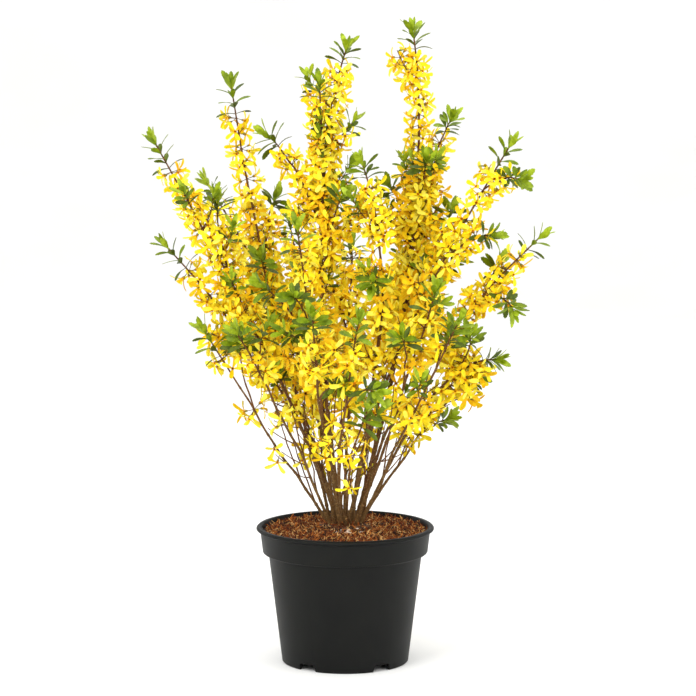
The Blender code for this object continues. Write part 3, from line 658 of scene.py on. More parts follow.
def turned(name, profile, sides):
    """A closed turned body: a ring that is extruded and resized from level to level."""
    (radius, height), *levels = profile
    bpy.ops.mesh.primitive_circle_add(vertices=sides, radius=radius, location=(0, 0, height))
    piece = started(name)
    open_for_editing(piece)
    bpy.ops.mesh.select_all(action="SELECT")
    for next_radius, next_height in levels:
        rise = (0, 0, next_height - height)
        bpy.ops.mesh.extrude_region_move(TRANSFORM_OT_translate={"value": rise})
        share = next_radius / radius
        bpy.ops.transform.resize(value=(share, share, 1), center_override=(0, 0, 0))
        radius, height = next_radius, next_height
    bpy.ops.mesh.select_all(action="SELECT")
    bpy.ops.mesh.fill_holes(sides=0)
    bpy.ops.mesh.normals_make_consistent(inside=False)
    bpy.ops.object.mode_set(mode="OBJECT")
    return piece


def cut_out(piece, cutter, count, first_bearing):
    """Cut the same opening at even steps round the Z axis."""
    for number in range(count):
        copy = linked(cutter.name, cutter.data.copy())
        bearing = first_bearing + math.tau * number / count
        copy.data.transform(Matrix.Rotation(bearing, 4, "Z"))
        apply_modifier(piece, "BOOLEAN", operation="DIFFERENCE", solver="EXACT", object=copy)
        bpy.data.objects.remove(copy, do_unlink=True)
    bpy.data.objects.remove(cutter, do_unlink=True)


def dress(piece, nodes, materials):
    """Give a piece its materials, let it ride on the plant's body and stand for its nodes."""
    for material in materials:
        piece.data.materials.append(material)
    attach(piece, "root")
    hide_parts(*nodes)


# Patterns: small pieces that are modelled once and copied many times

class Pattern:
    """A modelled piece kept as arrays, so that copies of it can be bent, placed and joined."""

    def __init__(self, points, corners, sizes, slots):
        self.points, self.corners, self.sizes, self.slots = points, corners, sizes, slots

    @classmethod
    def taken_from(cls, piece):
        """The pattern of a finished piece, which is then removed."""
        mesh = piece.data
        points = np.array([corner.co for corner in mesh.vertices])
        corners = np.array([index for face in mesh.polygons for index in face.vertices])
        sizes = np.array([len(face.vertices) for face in mesh.polygons])
        bpy.data.objects.remove(piece, do_unlink=True)
        return cls(points, corners, sizes, np.zeros(len(sizes), dtype=int))

    def with_points(self, points, slot=None):
        """The same faces on other points."""
        slots = self.slots if slot is None else np.full(len(self.sizes), slot)
        return Pattern(points, self.corners, self.sizes, slots)


class Heap:
    """Copies of patterns, gathered as arrays and joined into one mesh."""

    def __init__(self):
        self.points, self.corners, self.sizes, self.slots, self.ages = [], [], [], [], []
        self.count = 0

    def add(self, pattern, points, slots=None, ages=None):
        """Add a copy with its points in place."""
        self.points.append(points)
        self.corners.append(pattern.corners + self.count)
        self.sizes.append(pattern.sizes)
        self.slots.append(pattern.slots if slots is None else slots[pattern.slots])
        self.ages.append(np.zeros(len(points)) if ages is None else ages)
        self.count += len(points)

    def as_pattern(self):
        """All the copies as one pattern."""
        return Pattern(np.concatenate(self.points), np.concatenate(self.corners),
                       np.concatenate(self.sizes), np.concatenate(self.slots))

    def as_piece(self, name):
        """All the copies as one smooth-shaded object at the origin."""
        whole = self.as_pattern()
        mesh = bpy.data.meshes.new(name)
        mesh.vertices.add(len(whole.points))
        mesh.vertices.foreach_set("co", whole.points.ravel())
        mesh.loops.add(len(whole.corners))
        mesh.loops.foreach_set("vertex_index", whole.corners)
        mesh.polygons.add(len(whole.sizes))
        mesh.polygons.foreach_set("loop_start", np.cumsum(whole.sizes) - whole.sizes)
        mesh.polygons.foreach_set("material_index", whole.slots)
        mesh.polygons.foreach_set("use_smooth", np.ones(len(whole.sizes), dtype=bool))
        mesh.update(calc_edges=True)
        age = mesh.attributes.new("age", "FLOAT", "POINT")
        age.data.foreach_set("value", np.concatenate(self.ages))
        return linked(name, mesh)


def blade_pattern(name, length, half_width, across, rows, fold):
    """A flat blade along +Y, shaped row by row from a grid, its midline sunk by fold.

    Each row is its share of the length and its share of the half width. Rows lie closer
    together towards the tip, so each is moved before the one below it.
    """
    bpy.ops.mesh.primitive_grid_add(x_subdivisions=across, y_subdivisions=len(rows) - 1, size=1,
                                    location=(0, 0.5, 0))
    piece = started(name)
    open_for_editing(piece)
    last = len(rows) - 1
    for number in range(last, -1, -1):
        share, width = rows[number]
        level = number / last
        pick("VERT", lambda middle: abs(middle.y - level) < SAME)
        bpy.ops.transform.translate(value=(0, share - level, 0))
        bpy.ops.transform.resize(value=(2 * half_width * width, 1, 1), center_override=(0, 0, 0))
    pick("VERT", lambda middle: abs(middle.x) < SAME * half_width and middle.y < 1 - SAME)
    bpy.ops.transform.translate(value=(0, 0, -fold))
    bpy.ops.mesh.select_all(action="SELECT")
    bpy.ops.transform.resize(value=(1, length, 1), center_override=(0, 0, 0))
    bpy.ops.object.mode_set(mode="OBJECT")
    return Pattern.taken_from(piece)


def bent_blade(pattern, length, lean, bend, twist, scale=1.0):
    """A blade's points bent to a curve that leaves the Z axis at an angle and turns from it."""
    across, along, raised = (pattern.points * scale).T
    share = along / (length * scale)
    turn = twist * share
    side = across * np.cos(turn) - raised * np.sin(turn)
    off = across * np.sin(turn) + raised * np.cos(turn)
    angle = lean + bend * share
    outwards = -(np.cos(angle) - math.cos(lean)) * length * scale / bend
    upwards = (np.sin(angle) - math.sin(lean)) * length * scale / bend
    return np.stack([side, outwards - off * np.cos(angle), upwards + off * np.sin(angle)], axis=1)


def turned_points(points, angle):
    """Points turned about the Z axis."""
    cosine, sine = math.cos(angle), math.sin(angle)
    x, y, z = points.T
    return np.stack([x * cosine - y * sine, x * sine + y * cosine, z], axis=1)


def petal_pattern():
    """One strap-shaped petal with a rounded tip and a shallow channel."""
    rows = [(0, 0.40), (0.26, 0.66), (0.52, 0.94), (0.74, 1.0), (0.92, 0.80), (1, 0.34)]
    return blade_pattern("petal", PETAL_LENGTH, PETAL_WIDTH / 2, 2, rows, PETAL_CHANNEL)


def sepal_pattern():
    """One narrow lobe of the calyx."""
    rows = [(0, 1.0), (0.6, 0.8), (1, 0.1)]
    return blade_pattern("sepal", SEPAL_LENGTH, SEPAL_WIDTH / 2, 1, rows, 0)


def flower_foot_pattern():
    """Bud scales, stalk, calyx and corolla tube, as one slim turned body."""
    profile = [
        (BUD_SCALE_RADIUS, BUD_SCALE_FOOT),
        (PEDICEL_RADIUS, BUD_SCALE_TOP),
        (PEDICEL_TOP_RADIUS, CALYX_FOOT),
        (CALYX_RADIUS, CALYX_TOP),
        (THROAT_RADIUS, FLOWER_RIM),
    ]
    foot = turned("flower_foot", profile, STALK_SIDES)
    open_for_editing(foot)
    pick("FACE", lambda middle: middle.z > FLOWER_RIM - SAME * TUBE_LENGTH)
    bpy.ops.mesh.delete(type="FACE")
    bpy.ops.object.mode_set(mode="OBJECT")
    pattern = Pattern.taken_from(foot)
    ends = np.cumsum(pattern.sizes)
    heights = [pattern.points[pattern.corners[end - size:end], 2].mean()
               for end, size in zip(ends, pattern.sizes)]
    pattern.slots = np.array([STALK if height < CALYX_FOOT else CALYX if height < CALYX_TOP
                              else THROAT for height in heights])
    return pattern


def either_way(dice, most):
    """A seeded amount to one side or the other."""
    return dice.uniform(-most, most)


def flower_patterns():
    """Flowers from half open to wide and swept back, each petal bent a little differently."""
    petal, sepal, foot = petal_pattern(), sepal_pattern(), flower_foot_pattern()
    middles = petal.points[petal.corners.reshape(-1, 4), 1].mean(axis=1)
    near = middles < INNER_PETAL_SHARE * PETAL_LENGTH
    flowers = []
    for number, (lean, bend) in enumerate(OPENINGS):
        dice = random.Random("flower %d" % number)
        heap = Heap()
        heap.add(foot, foot.points)
        for quarter in range(4):
            points = bent_blade(petal, PETAL_LENGTH,
                                math.radians(lean + either_way(dice, PETAL_LEAN_SPREAD)),
                                math.radians(bend + either_way(dice, PETAL_BEND_SPREAD)),
                                math.radians(either_way(dice, PETAL_TWIST)),
                                dice.uniform(*PETAL_SIZES))
            points += (0, THROAT_RADIUS * PETAL_FOOT_SHARE, FLOWER_RIM - PETAL_SINK)
            turn = math.tau * quarter / 4 + either_way(dice, PETAL_SWING)
            points = turned_points(points, turn)
            copy = petal.with_points(points)
            copy.slots = np.where(near, INNER_PETAL, PETAL_SLOTS[quarter])
            heap.add(copy, points)
            lobe = bent_blade(sepal, SEPAL_LENGTH, math.radians(SEPAL_LEAN),
                              math.radians(SEPAL_BEND), 0.0)
            lobe += (0, SEPAL_AWAY, PEDICEL_LENGTH)
            lobe = turned_points(lobe, math.tau * (quarter + 0.5) / 4)
            heap.add(sepal.with_points(lobe, CALYX), lobe)
        flowers.append(heap.as_pattern())
    return flowers


def leaf_pattern():
    """One leaf, widest above its middle, narrowed to a stalk and toothed towards its tip."""
    rows = [(0, 0.16), (0.14, 0.22), (0.32, 0.62), (0.50, 0.92), (0.62, 1.0),
            (0.68, 1.0 - TOOTH), (0.77, 0.94), (0.82, 0.90 - 2 * TOOTH), (0.90, 0.66), (1, 0.08)]
    return blade_pattern("leaf", LEAF_LENGTH, LEAF_WIDTH / 2, 2, rows, LEAF_FOLD)


def internode_pattern(name, sides, cuts, buds):
    """One internode of unit radius and length, with a swollen joint and a pair of buds."""
    bpy.ops.mesh.primitive_cylinder_add(vertices=sides, radius=1, depth=1, location=(0, 0, 0.5),
                                        end_fill_type="NOTHING")
    piece = started(name)
    open_for_editing(piece)
    pick("EDGE", lambda middle: 0.4 < middle.z < 0.6)
    bpy.ops.mesh.subdivide(number_cuts=cuts)
    rings = cuts + 1
    for ring in range(1, rings):
        level = ring / rings
        pick("VERT", lambda middle: abs(middle.z - level) < SAME)
        swell = 1 + JOINT_SWELL * math.exp(-((level - JOINT_PLACE) / JOINT_SPREAD) ** 2)
        swell -= WAIST * math.sin(level * math.pi)
        bpy.ops.transform.resize(value=(swell, swell, 1), center_override=(0, 0, 0))
    if buds:
        # The two buds stand on the faces that look along +X and -X
        joint = round(JOINT_PLACE * rings) / rings - 0.5 / rings
        pick("FACE", lambda middle: abs(middle.z - joint) < 0.01 and abs(middle.x) > 0.93)
        bpy.ops.mesh.extrude_region_shrink_fatten(
            TRANSFORM_OT_shrink_fatten={"value": BUD_HEIGHT})
        pick("FACE", lambda middle: abs(middle.x) > 1.2)
        bpy.ops.transform.resize(value=(1, BUD_NARROWING, BUD_NARROWING),
                                 center_override=(0, 0, joint))
        bpy.ops.transform.translate(value=(0, 0, BUD_LIFT))
    bpy.ops.object.mode_set(mode="OBJECT")
    return Pattern.taken_from(piece)


# Growth, by the rule of the solids

class Path:
    """A smooth curve from a start through a bend to an end, with a tapering radius."""

    def __init__(self, start, bend, end, radius, tip_radius):
        self.start, self.bend, self.end = Vector(start), Vector(bend), Vector(end)
        self.radius, self.tip_radius = radius, tip_radius

    def at(self, share):
        """The point at a share of the way, from 0 to 1."""
        rest = 1 - share
        return self.start * rest ** 2 + self.bend * (2 * share * rest) + self.end * share ** 2

    def heading(self, share):
        """The direction of growth at a share of the way."""
        slope = (self.bend - self.start) * (1 - share) + (self.end - self.bend) * share
        return slope.normalized()

    def thickness(self, share):
        """Radius at a share of the way."""
        return self.radius + (self.tip_radius - self.radius) * share

    def length(self, first=0.0, last=1.0):
        """Length between two shares."""
        places = [self.at(first + (last - first) * i / LENGTH_STEPS)
                  for i in range(LENGTH_STEPS + 1)]
        return sum((b - a).length for a, b in zip(places, places[1:]))

    def samples(self, first=0.0, last=1.0):
        """Points every few millimetres between two shares, as an array."""
        count = max(2, math.ceil(self.length(first, last) / SAMPLE_STEP))
        return np.array([self.at(first + (last - first) * i / count) for i in range(count + 1)])

    def normal(self):
        """The direction square to the plane that the whole curve lies in."""
        square = (self.bend - self.start).cross(self.end - self.bend)
        if square.length < 1e-9:
            square = (self.end - self.start).cross(ASKEW)
        return square.normalized()


def cane_path(name):
    """The centreline of a cane."""
    ring, bearing, radius, middle, tip = CANES[name]
    angle = math.radians(bearing)
    foot = Vector((ring * math.cos(angle), CROWN_BACK + ring * math.sin(angle), FOOT_LEVEL))
    bend = 2 * Vector(middle) - (foot + Vector(tip)) / 2
    return Path(foot, bend, tip, radius, radius * (1 - CANE_TAPER))


def shoot_path(parent, share, tip):
    """The centreline of a side shoot, which leaves its parent along the way it grows."""
    start = parent.at(share)
    reach = (Vector(tip) - start).length
    bend = (start + Vector(tip)) / 2 + parent.heading(share) * reach * SHOOT_ARCH
    radius = min(SHOOT_RADIUS, parent.thickness(share))
    return Path(start, bend, tip, radius, SHOOT_TIP_RADIUS)


def bough_share(path):
    """Share of a cane at which its bough ends and its mass begins."""
    rise = min(BOUGH_SHARE_OF_RISE * (path.end.z - FOOT_LEVEL), BOUGH_LONGEST_RISE)
    low, high = 0.0, 1.0
    while high - low > 0.0001:
        share = (low + high) / 2
        if path.at(share).z < FOOT_LEVEL + rise:
            low = share
        else:
            high = share
    return low


class Space:
    """The room round the canes, shared out by whose shoots lie nearest."""

    def __init__(self, canes):
        self.masses = {name: [path.samples(share, 1)] for name, (path, share) in canes.items()}
        self.boughs = {name: path.samples(0, share) for name, (path, share) in canes.items()}

    def distance(self, points, samples):
        """Least distance from each point to a set of samples."""
        return np.linalg.norm(points[:, None] - samples[None], axis=2).min(axis=1)

    def others(self, owner, points):
        """Least distance from each point to any other cane or its shoots."""
        nearest = np.full(len(points), FAR_AWAY)
        for name in self.masses:
            if name != owner:
                for samples in self.masses[name] + [self.boughs[name]]:
                    nearest = np.minimum(nearest, self.distance(points, samples))
        return nearest


def add_shoots(canes, space):
    """Work out the side shoots of every cane: the listed ones, then seeded ones."""
    shoots = {name: [] for name in canes}
    for name, share, tip in SIDE_SHOOTS:
        path, first = canes[name]
        shoot = shoot_path(path, max(share, first + LISTED_FORK_PAST_BOUGH), tip)
        claim_shoot(name, shoot, shoots, space, LISTED_SHOOT_ROOM)
    for number, (name, (path, first)) in enumerate(canes.items()):
        dice = random.Random(SEED + number)
        for _ in range(SEEDED_TRIES):
            if len(shoots[name]) >= FEWEST_SHOOTS:
                break
            share = dice.uniform(first + SEEDED_FORK_PAST_BOUGH, LAST_FORK)
            reach = dice.uniform(SHOOT_SHORTEST, SHOOT_LONGEST)
            heading = path.heading(share)
            away = heading.orthogonal().normalized()
            away.rotate(Matrix.Rotation(dice.uniform(0, math.tau), 3, heading))
            tip = path.at(share) + (heading * SHOOT_AHEAD + away * SHOOT_ASIDE) * reach
            claim_shoot(name, shoot_path(path, share, tip), shoots, space, SEEDED_SHOOT_ROOM)
    return shoots


def claim_shoot(name, shoot, shoots, space, room):
    """Keep a side shoot if its outer part is clear of all other canes and its sisters."""
    outer = shoot.samples(OUTER_PART, 1)
    if space.others(name, shoot.samples()).min() < LISTED_SHOOT_ROOM:
        return
    if space.others(name, outer).min() < room:
        return
    sisters = min(space.distance(outer, samples).min() for samples in space.masses[name])
    if sisters < LISTED_SHOOT_ROOM:
        return
    shoots[name].append(shoot)
    space.masses[name].append(shoot.samples())


# Finer growth, within the same reach

class Limb(Path):
    """A path with a finer tip, which sways a little from its smooth line as grown wood does."""

    def __init__(self, path, tip_radius, dice, sway, offset=(0, 0, 0)):
        super().__init__(path.start, path.bend, path.end, path.radius, tip_radius)
        self.sway, self.offset = sway, np.array(offset)
        self.waves = [(dice.uniform(0, math.tau), dice.uniform(0, math.tau), count)
                      for count in SWAY_WAVES]

    def drift(self, shares):
        """How far the limb lies off its smooth line at some shares of the way."""
        share = np.clip(shares, 0, 1)
        normal = np.array(self.normal())
        across = np.cross(np.array(self.heading(0.5)), normal)
        off = np.zeros((len(share), 3))
        for bearing, phase, count in self.waves:
            side = normal * math.cos(bearing) + across * math.sin(bearing)
            off += side * (np.sin(math.tau * count * share + phase) / count)[:, None]
        fade = np.sin(math.pi * share)[:, None]
        return off * fade * self.sway + self.offset * ((1 - share) ** 2)[:, None]

    def at(self, share):
        """The point at a share of the way, with its sway."""
        return super().at(share) + Vector(self.drift(np.array([share]))[0])

    def drift_at_fork(self, place):
        """The sway at the point of the smooth line nearest to a place."""
        shares = np.linspace(0, 1, FORK_STEPS)
        smooth = np.array([Path.at(self, share) for share in shares])
        nearest = np.linalg.norm(smooth - np.array(place), axis=1).argmin()
        return self.drift(shares[nearest:nearest + 1])[0]

    def clothe(self, points, first, last, turn, flare=0.0):
        """Points of a unit internode, turned and laid along a stretch of the limb."""
        x, y, z = turned_points(points, turn).T
        share = (first + (last - first) * z)[:, None]
        rest = 1 - share
        start, bend, end = (np.array(p) for p in (self.start, self.bend, self.end))
        centre = start * rest ** 2 + bend * (2 * share * rest) + end * share ** 2
        centre += self.drift(share[:, 0])
        heading = (bend - start) * rest + (end - bend) * share
        heading /= np.linalg.norm(heading, axis=1)[:, None]
        normal = np.array(self.normal())
        across = np.cross(heading, normal)
        radius = self.radius + (self.tip_radius - self.radius) * share
        height = np.maximum(0, centre[:, 2:] - FOOT_LEVEL)
        radius = radius * (1 + flare * np.exp(-height / FLARE_HEIGHT))
        return centre + (normal * x[:, None] + across * y[:, None]) * radius


class Stem:
    """A limb with its joints, from which buds stand in crossed pairs."""

    def __init__(self, limb, tip_growth, turn):
        self.path, self.turn = limb, turn
        length = limb.length()
        self.last = 1 + tip_growth / length
        self.joints = max(2, round((length + tip_growth) / INTERNODE))

    def share_of(self, joint):
        """Share of the path at a joint, counted from the foot."""
        return self.last * joint / self.joints

    def side_at(self, joint, opposite):
        """The direction in which one bud of a joint's pair stands."""
        share = min(self.share_of(joint), 1)
        heading, normal = self.path.heading(share), self.path.normal()
        angle = self.turn + joint * math.pi / 2 + (math.pi if opposite else 0)
        return normal * math.cos(angle) + heading.cross(normal) * math.sin(angle)

    def bark(self, heap, pattern, flare, age_at):
        """Add the stem's bark to a heap, one internode after another."""
        for joint in range(self.joints):
            first, last = self.share_of(joint), self.share_of(joint + 1)
            turn = self.turn + (joint + 1) * math.pi / 2
            points = self.path.clothe(pattern.points, first, last, turn, flare)
            shares = first + (last - first) * pattern.points[:, 2]
            heap.add(pattern, points, ages=age_at(shares))


def frame_along(direction, roll):
    """Three axes as a matrix of columns, the last along a direction, turned about it."""
    out = Vector(direction).normalized()
    side = out.orthogonal().normalized()
    side.rotate(Matrix.Rotation(roll, 3, out))
    return np.array(Matrix((side, out.cross(side), out)).transposed())


def inside_reach(points):
    """Whether points keep within the box of the solids, sideways but for a leaf's tip."""
    slack = np.array((LEAF_TIP_SLACK, LEAF_TIP_SLACK, 0))
    low, high = np.array(CAD_LOW) - slack, np.array(CAD_HIGH) + slack
    return bool((points > low).all() and (points < high).all())


class Crowding:
    """The places of what has grown so far, in cubes, to keep new growth from crowding it."""

    def __init__(self, room):
        self.room, self.cubes = room, {}

    def is_free(self, place):
        """Whether nothing stands nearer than the room."""
        cube = [math.floor(value / self.room) for value in place]
        for shift in np.ndindex(3, 3, 3):
            key = tuple(c + s - 1 for c, s in zip(cube, shift))
            for other in self.cubes.get(key, ()):
                if (other - place).length < self.room:
                    return False
        return True

    def take(self, place):
        """Note something that has grown."""
        key = tuple(math.floor(value / self.room) for value in place)
        self.cubes.setdefault(key, []).append(place)


def part_way(place, first, last):
    """How far a place lies between two distances from the root crown, from 0 to 1.

    Places at the front of the crown count as nearer, so that it is opener there.
    """
    away = (place - Vector((0, CROWN_BACK, FOOT_LEVEL))).length
    away -= FRONT_OPENNESS * max(0.0, -place.y)
    return max(0.0, min(1.0, (away - first) / (last - first)))


def fullness(place):
    """How thickly flowers stand: none near the root crown, few low down, many in the crown."""
    return part_way(place, FIRST_FLOWER_AWAY, FULL_FLOWER_AWAY) ** FLOWER_RISE


def bareness(place, tip, full):
    """What fullness has to pass for a flower: it differs by clump and is low below a tuft."""
    bare = max(CLUMP_FLOOR, CLUMP_MIDDLE + CLUMP_CONTRAST * noise.noise(place / CLUMP_SIZE))
    if full > FULL_ENOUGH:
        bare *= min(1.0, (place - tip).length / FULL_BELOW_TUFT)
    return bare


def grow_flowers(stem, tip_room, dice, crowding, flowers, heap):
    """Flowers at a stem's joints, on short stalks that lean outwards and hang a little."""
    tip = stem.path.end
    for joint in range(1, stem.joints + 1):
        share = min(stem.share_of(joint), 1.0)
        place, heading = stem.path.at(share), stem.path.heading(share)
        if (place - tip).length < tip_room:
            break
        full = fullness(place)
        if not full:
            continue
        bare = bareness(place, tip, full)
        smaller = 1 - SMALLER_AT_TIPS * part_way(place, LARGE_FLOWERS_AWAY, SMALL_FLOWERS_AWAY)
        for opposite in (False, True):
            for _ in range(dice.choices(FLOWERS_A_BUD, FLOWERS_A_BUD_WEIGHTS)[0]):
                if bare + dice.gauss(0, CLUMP_FUZZ) > full:
                    continue
                side = stem.side_at(joint, opposite)
                side.rotate(Matrix.Rotation(dice.gauss(0, FLOWER_SWING), 3, heading))
                lean = math.radians(dice.uniform(*FLOWER_LEANS))
                out = side * math.sin(lean) + heading * math.cos(lean)
                out.z -= dice.uniform(0.0, FLOWER_HANG)
                out.normalize()
                foot = place + out * stem.path.thickness(share) * FLOWER_SINK
                size = smaller * dice.uniform(*FLOWER_SIZES)
                middle = foot + out * (FLOWER_RIM + FLOWER_DEPTH) * size
                if crowding.is_free(middle) and add_flower(foot, out, size, dice, flowers, heap):
                    crowding.take(middle)


def add_flower(foot, out, size, dice, flowers, heap):
    """One flower with its own opening and yellows, if it keeps within the reach."""
    pattern = dice.choice(flowers)
    axes = frame_along(out, dice.uniform(0, math.tau))
    points = (pattern.points * size) @ axes.T + np.array(foot)
    if not inside_reach(points):
        return False
    tint = dice.choices(TINTS, TINT_WEIGHTS)[0]
    petals = []
    for _ in PETAL_SLOTS:
        shift = dice.choices(TINT_SHIFTS, TINT_SHIFT_WEIGHTS)[0]
        petals.append(min(AMBER, max(LEMON, tint + shift)))
    inner = min(AMBER, tint + 1)
    heap.add(pattern, points, np.array(petals + [inner, ORANGE, CALYX_GREEN, STALK_BROWN]))
    return True


def grow_tuft(stem, levels, size, dice, leaf, heap):
    """Opposite pairs of leaves about a stem's tip, upright on top and spreading below."""
    path = stem.path
    length = path.length()
    axes = frame_along(path.heading(1), 0)
    turn = math.atan2(axes[0, 1], axes[0, 0]) + dice.gauss(0, TUFT_TURN)
    for number, (above, lean, bend, scale, shade) in enumerate(levels):
        share = 1 + above * size / length
        place, heading = path.at(share), path.heading(min(share, 1))
        for opposite in (0, 1):
            spread = math.radians(lean + either_way(dice, LEAF_LEAN_SPREAD))
            curve = math.radians(bend + dice.uniform(*LEAF_BEND_SPREAD))
            twist = math.radians(either_way(dice, LEAF_TWIST))
            grown = scale * size * dice.uniform(*LEAF_SIZES)
            points = bent_blade(leaf, LEAF_LENGTH, spread, curve, twist, grown)
            around = turn + number * math.pi / 2 + opposite * math.pi + either_way(dice, LEAF_SWING)
            points = turned_points(points, around) @ frame_along(heading, 0).T + np.array(place)
            if inside_reach(points):
                # Lower leaves take darker greens, partly as older leaves and partly as painted
                # shade
                shade_here = min(DARKEST_LEAF, shade + (dice.random() < DARKER_LEAF_CHANCE))
                heap.add(leaf, points, np.array([shade_here]))


def grow_spurs(owner, stem, dice, space):
    """Short woody spurs at some joints of a stem, clear of the other canes."""
    spurs = []
    for joint in range(1, stem.joints - SPURS_END_BELOW_TIP):
        share = stem.share_of(joint)
        place, heading = stem.path.at(share), stem.path.heading(share)
        if dice.random() > SPUR_CHANCE or not fullness(place):
            continue
        side = stem.side_at(joint, dice.random() < 0.5)
        reach = dice.uniform(*SPUR_REACHES)
        tip = place + (heading * dice.uniform(*SPUR_AHEAD) + side * SPUR_ASIDE) * reach
        arch = (side * SPUR_BEND_ASIDE + heading * SPUR_BEND_AHEAD) * reach * SPUR_BEND_REACH
        radius = min(SPUR_RADIUS, stem.path.thickness(share))
        path = Path(place, place + arch, tip, radius, SPUR_TIP_RADIUS)
        if space.others(owner, path.samples(SPUR_CLEAR_FROM, 1)).min() < TWIG_ROOM:
            continue
        if not inside_reach(np.array([tip + heading * LEAF_LENGTH])):
            continue
        limb = Limb(path, SPUR_TIP_RADIUS, dice, 0)
        spurs.append(Stem(limb, SPUR_TIP_GROWTH, dice.uniform(0, math.tau)))
    return spurs


def grow_whips(owner, cane, dice, space):
    """Thin young shoots from the lower wood of a cane, which rise through the crown."""
    whips = []
    for _ in range(WHIPS_TRIED):
        share = dice.uniform(*WHIP_FORKS)
        place, heading = cane.path.at(share), cane.path.heading(share)
        side = heading.orthogonal().normalized()
        side.rotate(Matrix.Rotation(dice.uniform(0, math.tau), 3, heading))
        reach = dice.uniform(*WHIP_REACHES)
        upright = Vector((-place.x, -place.y, WHIP_STEEPNESS * place.length)).normalized()
        course = heading * WHIP_AHEAD + upright * WHIP_UPRIGHT + side * WHIP_ASIDE
        tip = place + course.normalized() * reach
        bend = (place + tip) / 2 + heading * reach * WHIP_ARCH
        path = Path(place, bend, tip, WHIP_RADIUS, SPUR_TIP_RADIUS)
        if space.others(owner, path.samples(WHIP_CLEAR_FROM, 1)).min() < TWIG_ROOM:
            continue
        limb = Limb(path, SPUR_TIP_RADIUS, dice, SHOOT_SWAY)
        whips.append(Stem(limb, SPUR_TIP_GROWTH, dice.uniform(0, math.tau)))
    return whips


def build_plant():
    """Bark, twigs, blossom and leaves of all the canes."""
    canes = {name: (cane_path(name), bough_share(cane_path(name))) for name in CANES}
    space = Space(canes)
    shoots = add_shoots(canes, space)
    thick = internode_pattern("cane_internode", CANE_SIDES, CANE_CUTS, True)
    thin = internode_pattern("twig_internode", TWIG_SIDES, TWIG_CUTS, False)
    flowers, leaf = flower_patterns(), leaf_pattern()
    bark = young_bark()
    crowding = Crowding(FLOWER_ROOM)
    twigs, leaves = Heap(), Heap()
    blossom = {piece: Heap() for piece in BLOSSOM_SIDES}
    for name, (path, _) in canes.items():
        dice = random.Random("growth of " + name)
        side = next(p for p, starts in BLOSSOM_SIDES.items() if name.startswith(starts))
        limb = Limb(path, FINE_CANE_TIP, dice, CANE_SWAY)
        cane = Stem(limb, TIP_GROWTH, dice.uniform(0, math.pi))
        build_cane(name, cane, thick, bark)
        stems = [cane]
        for shoot in shoots[name]:
            fork = cane.path.drift_at_fork(shoot.start)
            limb = Limb(shoot, FINE_SHOOT_TIP, dice, SHOOT_SWAY, fork)
            stems.append(Stem(limb, TIP_GROWTH, dice.uniform(0, math.pi)))
        whips, spurs = grow_whips(name, cane, dice, space), []
        for stem in stems:
            spurs += grow_spurs(name, stem, dice, space)
        for stem in stems:
            grow_tuft(stem, TUFT_LEVELS, 1.0, dice, leaf, leaves)
        for twig in stems[1:] + whips + spurs:
            twig.bark(twigs, thin, 0.0, lambda shares: TWIG_AGE * (1 - shares))
        for stem in stems:
            grow_flowers(stem, TUFT_ROOM, dice, crowding, flowers, blossom[side])
        for twig in whips + spurs:
            height = twig.path.end.z
            chance = HIGH_SPUR_TUFT_CHANCE if height > HIGH_SPUR else SPUR_TUFT_CHANCE
            leafy = twig in spurs and height > LOWEST_TUFT and dice.random() < chance
            if leafy:
                grow_tuft(twig, SPUR_TUFT_LEVELS, SPUR_TUFT_SIZE, dice, leaf, leaves)
            room = TUFT_ROOM / 2 if leafy else 0
            grow_flowers(twig, room, dice, crowding, flowers, blossom[side])
    finish_plant(twigs, leaves, blossom, bark)


def build_cane(name, stem, pattern, bark):
    """The bark of one cane from its foot to its tip, in place of the solid bough."""
    heap = Heap()
    weathered = random.Random("bark of " + name).uniform(*CANE_AGES)
    stem.bark(heap, pattern, FLARE, lambda shares: weathered * (1 - CANE_YOUTH_AT_TIP * shares))
    piece = heap.as_piece("bark_" + name)
    close_ends(piece)
    dress(piece, ["cane_" + name], [bark])


def close_ends(piece):
    """Weld the internodes to each other and close both ends."""
    open_for_editing(piece)
    bpy.ops.mesh.select_all(action="SELECT")
    bpy.ops.mesh.remove_doubles(threshold=WELD)
    bpy.ops.mesh.fill_holes(sides=0)
    bpy.ops.mesh.normals_make_consistent(inside=False)
    bpy.ops.object.mode_set(mode="OBJECT")


def finish_plant(twigs, leaves, blossom, bark):
    """Turn the heaps into pieces and dress them."""
    masses = ["blossom_" + name for name in CANES]
    twig_piece = twigs.as_piece("side_twigs")
    close_ends(twig_piece)
    dress(twig_piece, masses, [bark])
    # Pale to dark greens: partly young and older leaf colour, partly painted light on top of a tuft
    # and painted shade below
    greens = [leaf_skin("young_leaf_and_painted_light", "7C9008", "A6BA2A"),
              leaf_skin("young_leaf_green", "5A7004", "80940E"),
              leaf_skin("older_leaf_and_painted_shade", "3C4C04", "566608")]
    dress(leaves.as_piece("leaf_tufts"), masses, greens)
    yellows = [petal_skin("petal_lemon", "F8E838", "FCF05C"),
               petal_skin("petal_bright", "F8DE14", "FCE830"),
               petal_skin("petal_golden", "F6CA08", "FAD81C"),
               petal_skin("petal_amber", "F0B608", "F6C816"),
               petal_skin("petal_throat", "CC7C04", "E09A08"),
               leaf_skin("calyx_green", "6B6A1C", "8A8A30"),
               coir("stalk_brown", "4A2C10", "6B441C")]
    for piece, starts in BLOSSOM_SIDES.items():
        nodes = ["blossom_" + name for name in CANES if name.startswith(starts)]
        dress(blossom[piece].as_piece(piece), nodes, yellows)


# Pot, soil and root crown

def outer_radius(height):
    """Outside radius of the pot's tapering body."""
    return FOOT_RADIUS + (BODY_TOP_RADIUS - FOOT_RADIUS) * height / BODY_TOP_HEIGHT


